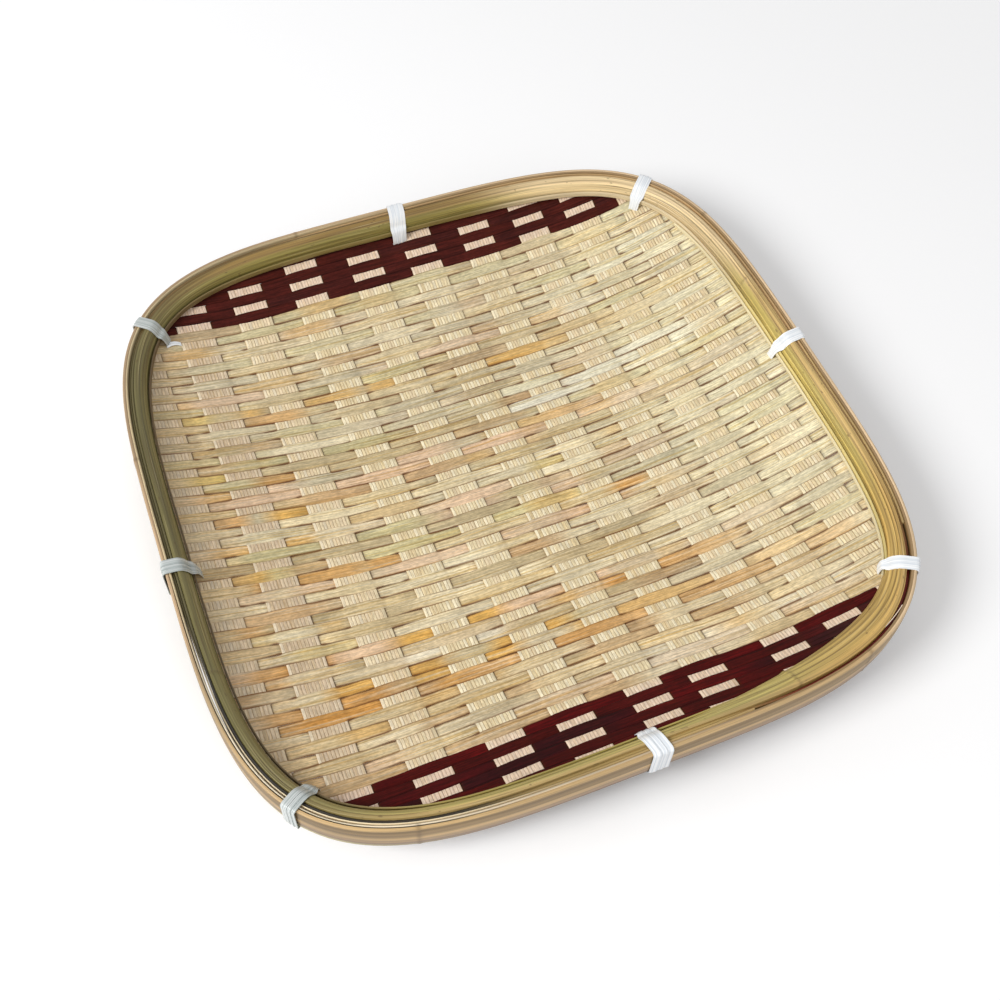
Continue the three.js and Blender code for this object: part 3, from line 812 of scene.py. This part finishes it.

# Stretches of a weft with another tone: row, from, to, tone and how strong
STAINED_STRETCHES = [
    (24, -100, -70, TAN, 0.8), (24, -46, -28, HONEY, 0.6), (24, 14, 66, TAN, 0.6),
    (23, 60, 86, HONEY, 0.5), (22, -98, -84, HONEY, 0.5), (20, 12, 24, TAN, 0.8),
    (20, 78, 104, WHITISH, 0.8), (19, -50, -20, STONE, 0.7), (19, 60, 90, WHITISH, 0.8),
    (18, -46, -20, TAN, 0.8), (18, 62, 84, HONEY, 0.6), (17, -80, -48, HONEY, 0.5),
    (17, 0, 24, TAN, 0.8), (16, -54, -38, STONE, 0.8), (16, 38, 70, WHITISH, 0.6),
    (15, 84, 110, HONEY, 0.8), (14, -104, -92, YELLOW, 0.9), (14, -80, -72, HONEY, 0.9),
    (14, -58, -38, HONEY, 0.8), (14, -33, -18, HONEY, 0.9), (14, -8, 24, TAN, 0.7),
    (14, 38, 110, HONEY, 0.55), (13, -80, -58, AMBER, 0.6), (13, 12, 40, HONEY, 0.9),
    (13, 40, 90, HONEY, 0.7), (11, -70, -30, GREENISH, 0.7), (10, -60, 0, STONE, 0.8),
    (10, 60, 88, GREENISH, 0.7), (9, -32, 0, STONE, 0.9), (9, 10, 40, WHITISH, 0.5),
    (9, 58, 90, WHITISH, 0.9), (8, -24, 10, STONE, 0.8), (8, 36, 94, WHITISH, 0.9),
    (7, -104, -91, YELLOW, 0.85), (7, 12, 50, WHITISH, 0.95), (7, 50, 92, WHITISH, 0.8),
    (6, -82, -58, AMBER, 0.6), (6, -22, 20, TAN, 0.6), (6, 46, 62, HONEY, 0.5),
    (6, 88, 100, YELLOW, 0.5), (5, -102, -90, HONEY, 0.7), (5, 0, 42, HONEY, 0.5),
    (5, 46, 72, HONEY, 0.5), (5, 88, 110, HONEY, 0.7), (4, 14, 24, TAN, 0.7), (4, 38, 52, HONEY, 0.5),
    (2, -104, -90, AMBER, 0.7), (2, -82, -58, HONEY, 0.9), (0, -70, -30, HONEY, 0.4),
    (0, 12, 36, YELLOW, 0.5), (-1, -104, -70, HONEY, 0.7), (-1, 38, 64, TAN, 0.8),
    (-2, 8, 30, PINKISH, 0.7), (-3, 12, 26, PINKISH, 0.8), (-3, 36, 76, STONE, 0.8),
    (-4, -104, -88, HONEY, 0.8), (-4, -82, -58, TAN, 0.8), (-4, 36, 72, STONE, 0.8),
    (-5, -96, -58, AMBER, 0.65), (-5, -57, -43, AMBER, 0.7), (-5, 36, 50, AMBER, 0.85),
    (-6, -82, -58, PINKISH, 0.8), (-6, 50, 70, TAN, 0.7), (-8, -20, 10, TAN, 0.6),
    (-9, -104, -96, AMBER, 0.7), (-10, -104, -94, YELLOW, 0.5), (-12, -90, -66, YELLOW, 0.35),
    (-12, -40, 10, STONE, 0.6), (-13, -104, -78, AMBER, 0.9), (-13, -57, -20, HONEY, 1.0),
    (-13, 20, 50, STONE, 0.7), (-13, 84, 108, HONEY, 0.6), (-14, -104, -94, AMBER, 0.6),
    (-14, 16, 72, AMBER, 0.85), (-15, -104, -60, STONE, 0.9), (-15, -57, -22, WHITISH, 0.8),
    (-16, -82, -44, HONEY, 0.95), (-16, -28, 0, HONEY, 0.95), (-16, 40, 70, STONE, 0.8),
    (-17, -104, -62, AMBER, 0.9), (-17, -57, -20, HONEY, 1.0), (-17, 0, 110, HONEY, 0.75),
    (-18, -104, -58, AMBER, 1.0), (-18, -50, 104, AMBER, 0.75), (-19, -57, -28, HONEY, 0.5),
    (-19, 0, 26, TAN, 0.9), (-19, 60, 92, TAN, 0.8), (-20, -82, -66, HONEY, 0.6),
    (-20, 0, 60, TAN, 0.7), (-21, -60, -20, TAN, 0.7), (-22, -46, -18, STONE, 0.9),
    (-22, 16, 50, WHITISH, 0.7), (-22, 64, 90, WHITISH, 0.6), (-23, 12, 60, WHITISH, 0.6),
    (-24, -104, 10, TAN, 0.8), (-24, 12, 50, WHITISH, 0.4),
]

SWELL = 0.28  # how far a weft's edges stand out over a bundle
SLIT = 0.06  # how far a weft draws back from an open seam
# The dark line along a seam is painted shade
FAINT_SEAM = 0.36  # how far a faint seam's dark line is moved off the weft, as a share of half its width

# Across a weft: share of half the width, and share of half the thickness
WEFT_SECTION = [
    (-0.97, -0.9), (-1.0, 0.3), (-0.93, 0.8), (-0.78, 0.95), (0.0, 1.0),
    (0.78, 0.95), (0.93, 0.8), (1.0, 0.3), (0.97, -0.9), (0.0, -1.0),
]
# Beside a bundle: distance out from its edge, share of the weft's lift there, and share of its painted shade
DIVE_STEPS = [(3.4, 0.0, 0.0), (1.3, 0.05, 0.0), (0.55, 0.3, 0.25), (0.0, 0.8, 1.0), (-0.9, 1.0, 1.0)]


def bundle_centre(bundle, y):
    return BUNDLE_CENTRES[bundle] + BUNDLE_LEANS[bundle] * y


def weft_stations(row, ends):
    """Places along a weft, its lift there, how deep its painted shade is and how light this stretch of it is.
    """
    half = BUNDLE_WIDTH / 2
    stations = [(ends[0], 0.0, 0.0, 1.0)]
    for bundle in range(len(BUNDLE_CENTRES)):
        centre = bundle_centre(bundle, row_centre(row))
        over = weft_over(row, bundle)
        lift = WEFT_LIFT if over else -WEFT_LIFT
        level = 0.12 * wander(0.7 * bundle, 1.9 * row, 13.0)
        # Painted shade where a weft dives under a bundle, deepest at the bundle's right edge
        shades = (0.05, 0.08) if over else (0.3, 0.85)
        for side, steps in ((0, DIVE_STEPS), (1, reversed(DIVE_STEPS))):
            stretch = bundle if over else bundle + side - 0.5
            light = 1 + 0.28 * wander(2.3 * stretch, 1.7 * row, 17.0)
            for distance, part, dark in steps:
                place = centre + (half + distance) * (2 * side - 1)
                stations.append((place, level * (1 - part) + lift * part, dark * shades[side], light))
            if side == 0:
                stations.append((centre, 1.12 * lift, 0.0, light))
    stations.append((ends[1], 0.0, 0.0, 1.0))
    return [s for s in stations if ends[0] + 0.4 < s[0] < ends[1] - 0.4 or s[0] in ends]


def seam_y(row, x):
    """Where a row meets the next one up, at a place along them."""
    nominal = (row_line(row, x) + row_line(row + 1, x)) / 2
    give = 0.1 if abs(row + 0.5) > PALE_ROWS else 0.55
    sway = give * wander(x / 42, 1.7 * row, 21.0) + 0.12 * wander(x / 34, 0.11 * row, 4.0)
    return nominal + seam_arch(row, x) + sway


def seam_arch(row, x):
    """A weft swells where it passes over a bundle, which bends the seams on both sides of it."""
    bend = 0.0
    for bundle in range(len(BUNDLE_CENTRES)):
        away = abs(x - bundle_centre(bundle, row_centre(row)))
        bend += (SWELL if weft_over(row, bundle) else -SWELL) * eased(away, 9.5, 3.0)
    return bend


def seam_slit(row, x):
    """How open the seam above a row is, from 0 to 1: short slits run out from the bundles' sides."""
    slit = 0.0
    if abs(row + 0.5) > PALE_ROWS:
        return slit
    for bundle in range(len(BUNDLE_CENTRES)):
        centre = bundle_centre(bundle, row_centre(row))
        for side in (-1, 1):
            out = side * (x - centre) - BUNDLE_WIDTH / 2
            if -1 < out < 9:
                strength = eased(wander(7.31 * row, 3.77 * bundle, 5.0 + side), -0.2, 0.25)
                length = 3.6 + 4 * wander(5.7 * row, 2.9 * bundle, 8.0 + side)
                slit = max(slit, strength * eased(out, -0.6, 0.2) * eased(out, length + 2, length - 2))
    return slit


def seam_line(row, x):
    """How dark the painted shade along the seam above a row is, from 0 to 1."""
    return max(seam_slit(row, x), 0.56 + 0.9 * wander(x / 20, 2.3 * row, 51.0))


def weft_tone(row, x, first, second):
    """A pale weft's tone: between its own two, stained in places, tinted by where in the tray it is, and
    lightened with painted light on the right and beside the left rim.
    """
    tone = blended(first, second, eased(wander(x / 40, 0.9 * row, 2.0), -0.25, 0.3))
    for stained_row, start, end, stain, strength in STAINED_STRETCHES:
        if stained_row == row:
            share = eased(x, start - 4, start + 4) * eased(x, end + 4, end - 4)
            tone = blended(tone, stain, strength * share)
    stray = eased(wander(x / 30, 3.1 * row, 11.0), 0.4, 0.55)
    tone = blended(tone, HONEY, 0.5 * stray)
    y = row_centre(row)
    tone = blended(tone, FRONT_TINT, 0.22 * eased(-y, 10, 80))
    tone = blended(tone, BACK_TINT, 0.3 * eased(y, 20, 85) * eased(x, 70, 30))
    # Painted light: brighter towards the right and close to the right rim
    tone = blended(tone, RIGHT_PAINTED_LIGHT, 0.6 * eased(x, 20, 90) * eased(y, -100, -40))
    tone = blended(tone, RIGHT_PAINTED_LIGHT, 0.3 * eased(x, 96, 106))
    # Painted warm reflected light beside the left rim
    return blended(tone, LEFT_RIM_PAINTED_LIGHT, 0.35 * eased(-x, 90, 98))


def dyed_tone(row, x, first, second):
    """A dyed weft's tone: between its own two, faded to slate at the front right and browner behind."""
    tone = blended(first, second, eased(wander(x / 40, 1.3 * row, 2.0), -0.15, 0.2))
    tone = blended(tone, SLATE, 0.7 * eased(x, 50, 90) * eased(-row, 24.5, 27))
    return blended(tone, RUSSET, 0.45 if row > 0 else 0.1)


def weft_ends(row, width):
    """Where a weft ends on the left and on the right, with its whole width inside the rim."""
    ends = []
    for side in (-1, 1):
        x = side * strip_reach(row_centre(row), STRIP_END)
        # Where a row ends depends on how far it has bent there, so the end is found in a few rounds
        for _ in range(3):
            x = side * strip_reach(abs(row_line(row, x)) + width / 2, STRIP_END)
        ends.append(x)
    return ends


def weft_pair(row, rng):
    """The two tones between which a weft wanders."""
    if abs(row) <= PALE_ROWS:
        first, second = rng.choice(WEFT_TONES), rng.choice(WEFT_TONES)
        return shaded(first, rng.uniform(0.8, 1.16)), second
    dyes = FRONT_DYES if row < 0 else BACK_DYES
    first = dyes[(abs(row) - PALE_ROWS) % len(dyes)]
    return first, blended(MAROON if row < 0 else OXBLOOD, OXBLOOD, rng.random())


def add_weft(row, rng):
    dyed = abs(row) > PALE_ROWS
    slack = 0.0 if dyed else rng.uniform(0.0, 0.03)
    ends = weft_ends(row, DARK_PITCH if dyed else WEFT_PITCH)
    first, second = weft_pair(row, rng)
    tone_at = dyed_tone if dyed else weft_tone
    rings, tones, across, along, edge = [], [], [], [], []
    seed = rng.random()
    for x, lift, shade, light in weft_stations(row, ends):
        low = seam_y(row - 1, x) + SLIT * seam_slit(row - 1, x)
        high = seam_y(row, x) - SLIT * seam_slit(row, x)
        half = (high - low - slack) / 2 * (1 + 0.04 * max(0.0, lift) / WEFT_LIFT)
        lines = (seam_line(row - 1, x), seam_line(row, x))
        tone = shaded(tone_at(row, x, first, second), light)
        ring = []
        for v, w in WEFT_SECTION:
            y = (low + high) / 2 + v * half
            z = mat_height(x, y) + lift + w * WEFT_THICKNESS / 2 - MAT_DROP
            ring.append((x, y, z))
            across.append(v * half)
            along.append(x)
            edge.append(abs(v) - FAINT_SEAM * max(0.0, 1 - lines[v > 0]))
            # Only the weft's top takes the painted shade
            tones.append(blended(tone, PAINTED_SLIT_SHADE, shade if w > 0 else 0.0))
        rings.append(ring)
    strips = Strips()
    strips.add(rings, {"tone": tones, "across": across, "along": along, "edge": edge, "seed": seed})
    side = "front" if row < 0 else "back"
    if dyed:
        place = "%s_%d" % (side, abs(row) - PALE_ROWS)
        strips.piece("dyed_strip_" + place, dyed_look, "dyed_splint", "dark_weft_" + place)
    elif row == 0:
        strips.piece("pale_strip_middle", weft_look, "weft_splint", "pale_weft_middle")
    else:
        # The solids join pale wefts in threes, counted from the middle
        group = (abs(row) + 2) // 3
        name = "pale_strip_%s_%02d" % (side, abs(row))
        strips.piece(name, weft_look, "weft_splint", "pale_wefts_%s_%d" % (side, group))


rows = range(-PALE_ROWS - DARK_ROWS_FRONT, PALE_ROWS + DARK_ROWS_BACK + 1)
for row in rows:
    add_weft(row, random.Random(1000 + row))

SPLINT_SECTION = [
    (-0.97, -0.9), (-1.0, 0.45), (-0.9, 0.85), (-0.7, 0.97),
    (0.7, 0.97), (0.9, 0.85), (1.0, 0.45), (0.97, -0.9),
]
SPLINT_TONES = [
    srgb(238, 223, 184), srgb(236, 220, 180), srgb(233, 215, 174), srgb(243, 231, 198), srgb(235, 217, 180),
]
# Rosy: dye taken on among the dyed wefts, and also a painted warm cast of reflected light and shade on the
# left
ROSY_DYE_AND_PAINTED_CAST = srgb(238, 211, 194)
GREYED = srgb(190, 166, 140)
LOOSE_BUNDLE = 9  # counted from 0, the one furthest right, where narrow gaps show between the splints


def splint_stations(bundle, x):
    """Places along a splint with its lift: over the wefts that dive under the bundle."""
    reach = strip_reach(abs(x) + 0.6, STRIP_END)
    stations = []
    for row in rows:
        y = row_line(row, x)
        half = 0.32 * (DARK_PITCH if abs(row) > PALE_ROWS else WEFT_PITCH)
        lift = -WARP_LIFT if weft_over(row, bundle) else WARP_LIFT
        for shift in (-half, half):
            if abs(y + shift) < reach - 0.3:
                stations.append((y + shift, lift))
    return [(-reach, 0.0)] + stations + [(reach, 0.0)]


def splint_tone(n, x0, rng):
    """A first splint with a painted highlight, a last one darkened with painted shade, painted light towards
    the right, and a rosier painted cast of reflected light and greyer tones on the left.
    """
    tone = shaded(rng.choice(SPLINT_TONES), rng.uniform(0.97, 1.1))
    # The first splint of each bundle has a painted highlight
    if n == 0:
        tone = shaded(SPLINT_TONES[3], 1.1)
    # The last splint has painted shade
    if n == SPLINTS_IN_BUNDLE - 1:
        tone = shaded(tone, 0.9)
    # Painted light towards the right
    tone = shaded(tone, 1 + 0.03 * eased(x0, 30, 70))
    # A rosier painted cast of reflected light and shade towards the left
    tone = blended(tone, ROSY_DYE_AND_PAINTED_CAST, 0.3 * eased(-x0, 40, 90))
    if n > 0:
        tone = blended(tone, GREYED, 0.15 * eased(-x0, 88, 102))
        tone = blended(tone, GREYED, 0.35 * eased(-x0, 70, 80) * eased(x0, -102, -92))
    return tone


def add_bundle(bundle, centre, rng):
    pitch = BUNDLE_WIDTH / SPLINTS_IN_BUNDLE
    strips = Strips()
    for n in range(SPLINTS_IN_BUNDLE):
        x0 = centre + (n - (SPLINTS_IN_BUNDLE - 1) / 2) * pitch
        width = pitch * (rng.uniform(0.86, 0.97) if bundle == LOOSE_BUNDLE else rng.uniform(0.97, 1.0))
        tone = splint_tone(n, x0, rng)
        seed = rng.random()
        proud = rng.uniform(-0.02, 0.03)
        rings, tones, across, along, edge = [], [], [], [], []
        for y, lift in splint_stations(bundle, x0):
            waver = 0.05 * wander(y / 19, 5.3 * n, 2.0 * bundle) + 0.25 * wander(y / 60, 40.0, 3.0 * bundle)
            waver += BUNDLE_LEANS[bundle] * y
            # Splints took on some of the dye among the dyed wefts
            rosy = max(eased(y - row_line(PALE_ROWS, x0), 0, 4), eased(row_line(-PALE_ROWS, x0) - y, 0, 4))
            tones.extend([blended(tone, ROSY_DYE_AND_PAINTED_CAST, 0.7 * rosy)] * len(SPLINT_SECTION))
            ring = []
            for v, w in SPLINT_SECTION:
                side = v * width / 2
                x = x0 + waver + side
                z = mat_height(x, y) + lift + proud + w * SPLINT_THICKNESS / 2 - MAT_DROP
                ring.append((x, y, z))
                across.append(side)
                along.append(y)
                edge.append(abs(v))
            rings.append(ring)
        strips.add(rings, {"tone": tones, "across": across, "along": along, "edge": edge, "seed": seed})
    strips.piece("splints_%02d" % (bundle + 1), splint_look, "warp_splint", "warp_bundle_%02d" % (bundle + 1))


for bundle, centre in enumerate(BUNDLE_CENTRES):
    add_bundle(bundle, centre, random.Random(50 + bundle))

# Strip ends turned up between the hoops


END_OUTER = 2.98  # insets of a turned-up end's two faces
END_INNER = 3.44
WEFT_END_HALF = 1.8  # half widths
SPLINT_END_HALF = 0.55
LAST_END_ROW = 104  # how far from the middle the last row and the last bundle lie whose ends turn up
LAST_END_BUNDLE = 98


def add_turned_up_end(strips, middle, half, tone, along_x, sign, rng):
    """One strip end that stands up where the gap between the hoops is open. Elsewhere it stays out of sight
    and isn't made. The strip's middle and half width are measured across it."""
    spot = strip_reach(middle, (END_OUTER + END_INNER) / 2) * sign
    angle = math.atan2(middle, spot) if along_x else math.atan2(spot, middle)
    top = RIM_TOP - rng.uniform(2.6, 4.0)
    if filler_missing(angle) < 0.5:
        return
    rings = []
    for share in (0.0, 0.34, 0.67, 1.0):
        ring = []
        for inset, side in ((END_OUTER, -1), (END_OUTER, 1), (END_INNER, 1), (END_INNER, -1)):
            cross = middle + side * half
            reach = strip_reach(cross, inset) * sign
            x, y = (reach, cross) if along_x else (cross, reach)
            foot = mat_height(x, y) - MAT_DROP
            ring.append((x, y, foot + (top - foot) * share))
        rings.append(ring)
    across = [0.0, 2 * half, 2 * half, 0.0] * len(rings)
    strips.add(rings, {"tone": tone, "across": across})


ends_rng = random.Random(77)
strip_ends = Strips()
for row in rows:
    if abs(row_centre(row)) > LAST_END_ROW:
        continue
    for sign in (-1, 1):
        # The weft ends are darkened with painted shade, down in the gap between the hoops
        tone = shaded(OXBLOOD if abs(row) > PALE_ROWS else ends_rng.choice(WEFT_TONES), 0.45)
        middle = row_line(row, (HALF_WIDTH - HOOP_FOOT) * sign)
        add_turned_up_end(strip_ends, middle, WEFT_END_HALF, tone, True, sign, ends_rng)
for centre in BUNDLE_CENTRES:
    if abs(centre) > LAST_END_BUNDLE:
        continue
    for n in range(SPLINTS_IN_BUNDLE):
        x0 = centre + (n - (SPLINTS_IN_BUNDLE - 1) / 2) * BUNDLE_WIDTH / SPLINTS_IN_BUNDLE
        # The splint ends are darkened with painted shade, down in the gap between the hoops
        tone = shaded(SPLINT_TONES[n % len(SPLINT_TONES)], 0.42)
        for sign in (-1, 1):
            add_turned_up_end(strip_ends, x0, SPLINT_END_HALF, tone, False, sign, ends_rng)
strip_ends.piece("turned_up_strip_ends", lath_finish, "warp_splint", "turned_up_mat_edge")

# Ties

TIE_TURNS = 3
TIE_WIDTH = 2.3
TIE_PITCH = 1.65
TIE_THICKNESS = 0.22
TIE_CORNER = 1.6  # how far from a bend the strip starts to turn
TAILED_TIE = 4
TAIL_POINTS = 9
TAIL_STEP = 0.65
# Across a strip: place from its left to its right edge, and distance off the rim
TIE_EDGES = [(-1.0, 0.16), (-0.5, 0.3), (0.5, 0.42), (1.0, 0.5)]


def tie_path(angle, off):
    """The closed way of a strip round the rim at a distance off its surfaces, from under the outer hoop."""
    outer, inner = hoop_insets(angle)
    shift = inner - HOOP_FOOT
    foot = seat_height(angle, inner)

    def face(degrees):
        a = math.radians(degrees)
        return outer + (inner - outer + off) * math.sin(a), foot + (INNER_HOOP_TOP - foot + off) * math.cos(a)

    foot_top = seat_height(angle, FOOT_LATH_OUTER + shift) + FOOT_LATH_HEIGHT
    under = mat_height_at(angle, TIE_THROUGH_MAT) - 1.2 - off
    return [
        (OUTER_HOOP_INNER, OUTER_HOOP_BOTTOM - off - 0.2),
        (-off - 0.1, OUTER_HOOP_BOTTOM - off - 0.2),
        (-off - 0.1, RIM_TOP + off),
        face(20),
        face(45),
        face(62),
        (FOOT_LATH_INNER + 0.2 + shift + off, foot_top + 0.1),
        (TIE_THROUGH_MAT - 0.2 + off, mat_height_at(angle, TIE_THROUGH_MAT) + 0.4),
        (TIE_THROUGH_MAT - 0.2 + off, under),
    ]


def softened(path):
    """The closed path with each corner turned into a short curve of five points."""
    soft = []
    for i, corner in enumerate(path):
        here = Vector(corner)
        before, after = Vector(path[i - 1]), Vector(path[(i + 1) % len(path)])
        inward = here + (before - here).normalized() * min(TIE_CORNER, (before - here).length * 0.4)
        onward = here + (after - here).normalized() * min(TIE_CORNER, (after - here).length * 0.4)
        for share in (0.0, 0.25, 0.5, 0.75, 1.0):
            first = inward.lerp(here, share)
            soft.append(first.lerp(here.lerp(onward, share), share))
    return soft


def add_tail(strips, angle, rng):
    """A short end of the strip that lies on the mat beside its tie."""
    x0, y0 = rim_spot(angle, TIE_THROUGH_MAT - 1.0, 0.6)
    rings = []
    for n in range(TAIL_POINTS):
        x = x0 + TAIL_STEP * n
        y = y0 + 0.7 * math.sin(0.35 * n) - 1.6
        foot = mat_height(x, y) - MAT_DROP + 0.45 + 0.25 * math.sin(math.pi * n / (TAIL_POINTS - 1))
        half = 1.0 - 0.03 * n
        ring = [(x, y - half, foot), (x, y + half, foot + 0.1)]
        rings.append(ring + [(x, y + half, foot + 0.1 + TIE_THICKNESS), (x, y - half, foot + TIE_THICKNESS)])
    across = [-1.0, 1.0, 1.0, -1.0] * len(rings)
    along = [TAIL_STEP * n for n in range(TAIL_POINTS) for _ in rings[n]]
    strips.add(rings, {"across": across, "along": along, "seed": rng.random(), "tie_painted_shade": 0.0})


def add_tie(number, degrees, spread, lean, pinch, rng):
    """One strip wound round the rim, each turn beside the last and over its edge. The left ones are greyed
    with painted shade.
    """
    angle = math.radians(degrees)
    lower = [softened(tie_path(angle, off)) for _, off in TIE_EDGES]
    upper = [softened(tie_path(angle, off + TIE_THICKNESS)) for _, off in TIE_EDGES]
    count = len(lower[0])
    rings, across, along = [], [], []
    for step in range(TIE_TURNS * count + 1):
        i = step % count
        turn = step / count - TIE_TURNS / 2
        depth = lower[1][i][0]
        narrowing = 1 - pinch * eased(depth, 8.2, 10.4)
        centre = turn * TIE_PITCH * spread + lean * eased(depth, 8, 0)
        ring = []
        for line, side in [(lower, n) for n in range(4)] + [(upper, n) for n in reversed(range(4))]:
            place = TIE_EDGES[side][0] * TIE_WIDTH / 2
            inset, height = line[side][i]
            ring.append(rim_spot(angle, inset, (centre + place) * narrowing) + (height,))
            across.append(place)
            along.append(step * 1.1)
        rings.append(ring)
    strips = Strips()
    # Painted shade on the ties at the left
    tie_painted_shade = 0.75 * eased(-HALF_WIDTH * math.cos(angle), 50, 85)
    strips.add(rings, {"across": across, "along": along, "seed": rng.random(), "tie_painted_shade": tie_painted_shade})
    if number == TAILED_TIE:
        add_tail(strips, angle, rng)
    strips.piece("white_tie_%d" % number, tie_look, "white_strip", "tie_%d" % number)


for number, (degrees, spread, lean, pinch) in enumerate(TIES, 1):
    add_tie(number, degrees, spread, lean, pinch, random.Random(300 + number))

# Table, lamps, world and camera

TABLE_HALF = 3  # this, and the places and sizes of the lamps, are in metres

table = bpy.data.meshes.new("table_top")
corners = [(-1, -1), (1, -1), (1, 1), (-1, 1)]
table.from_pydata([(TABLE_HALF * x, TABLE_HALF * y, 0) for x, y in corners], [], [(0, 1, 2, 3)])
table.materials.append(table_look())
table_top = bpy.data.objects.new("table_top", table)
bpy.context.collection.objects.link(table_top)


class Sky(Look):
    """The world: it lights the tray softly, and the camera sees it nearly white."""

    def __init__(self, name):
        self.world = bpy.data.worlds.new(name)
        self.world.use_nodes = True
        self.tree = self.world.node_tree
        self.tree.nodes.remove(self.tree.nodes["Background"])

    def background(self, strength):
        return self.node("ShaderNodeBackground", {}, {"Color": (1.0, 1.0, 1.0, 1.0), "Strength": strength})


def add_lamp(name, place, size, power):
    """A round lamp that shines at the middle of the tray."""
    lamp = bpy.data.lights.new(name, "AREA")
    lamp.shape = "DISK"
    lamp.size = size
    lamp.energy = power
    made = bpy.data.objects.new(name, lamp)
    made.location = place
    made.rotation_euler = (-Vector(place)).to_track_quat("-Z", "Y").to_euler()
    bpy.context.collection.objects.link(made)


add_lamp("key_lamp", (-0.92, -0.14, 0.78), 0.55, 11.4)
add_lamp("fill_lamp", (0.4, -1.1, 0.9), 0.9, 2.2)

SKY_LIGHT = 0.46
SKY_SEEN = 0.95
sky = Sky("studio")
bpy.context.scene.world = sky.world
backgrounds = {0: sky.seen(), 1: sky.background(SKY_LIGHT), 2: sky.background(SKY_SEEN)}
sky.feed(sky.tree.nodes["World Output"].inputs["Surface"], sky.node("ShaderNodeMixShader", {}, backgrounds))

# The camera was fitted to the photograph. Angles are in degrees and the distance in millimetres.
CAMERA_AZIMUTH = -24.23
CAMERA_ELEVATION = 54.92
CAMERA_ROLL = 3.06
CAMERA_DISTANCE = 441.26
FOCAL_PIXELS = 1289.0
FRAME_PIXELS = 1000
OPTICAL_CENTRE = (505.07, 441.20)

azimuth = math.radians(CAMERA_AZIMUTH)
elevation = math.radians(CAMERA_ELEVATION)
roll = math.radians(CAMERA_ROLL)
right = Vector((math.cos(azimuth), math.sin(azimuth), 0))
level = math.cos(elevation)
back = Vector((math.sin(azimuth) * level, -math.cos(azimuth) * level, math.sin(elevation)))
up = back.cross(right)
camera_x = right * math.cos(roll) + up * math.sin(roll)
camera_y = up * math.cos(roll) - right * math.sin(roll)
turn = Matrix((camera_x, camera_y, back)).transposed().to_4x4()
lens = bpy.data.cameras.new("photo_camera")
lens.sensor_width = 36
lens.lens = FOCAL_PIXELS / FRAME_PIXELS * lens.sensor_width
lens.shift_x = (FRAME_PIXELS / 2 - OPTICAL_CENTRE[0]) / FRAME_PIXELS
lens.shift_y = (OPTICAL_CENTRE[1] - FRAME_PIXELS / 2) / FRAME_PIXELS
camera = bpy.data.objects.new("photo_camera", lens)
spot = (Vector((0, 0, RIM_TOP)) + back * CAMERA_DISTANCE) * METRE
camera.matrix_world = Matrix.Translation(spot) @ turn
bpy.context.collection.objects.link(camera)
bpy.context.scene.camera = camera
bpy.context.scene.view_settings.view_transform = "Standard"
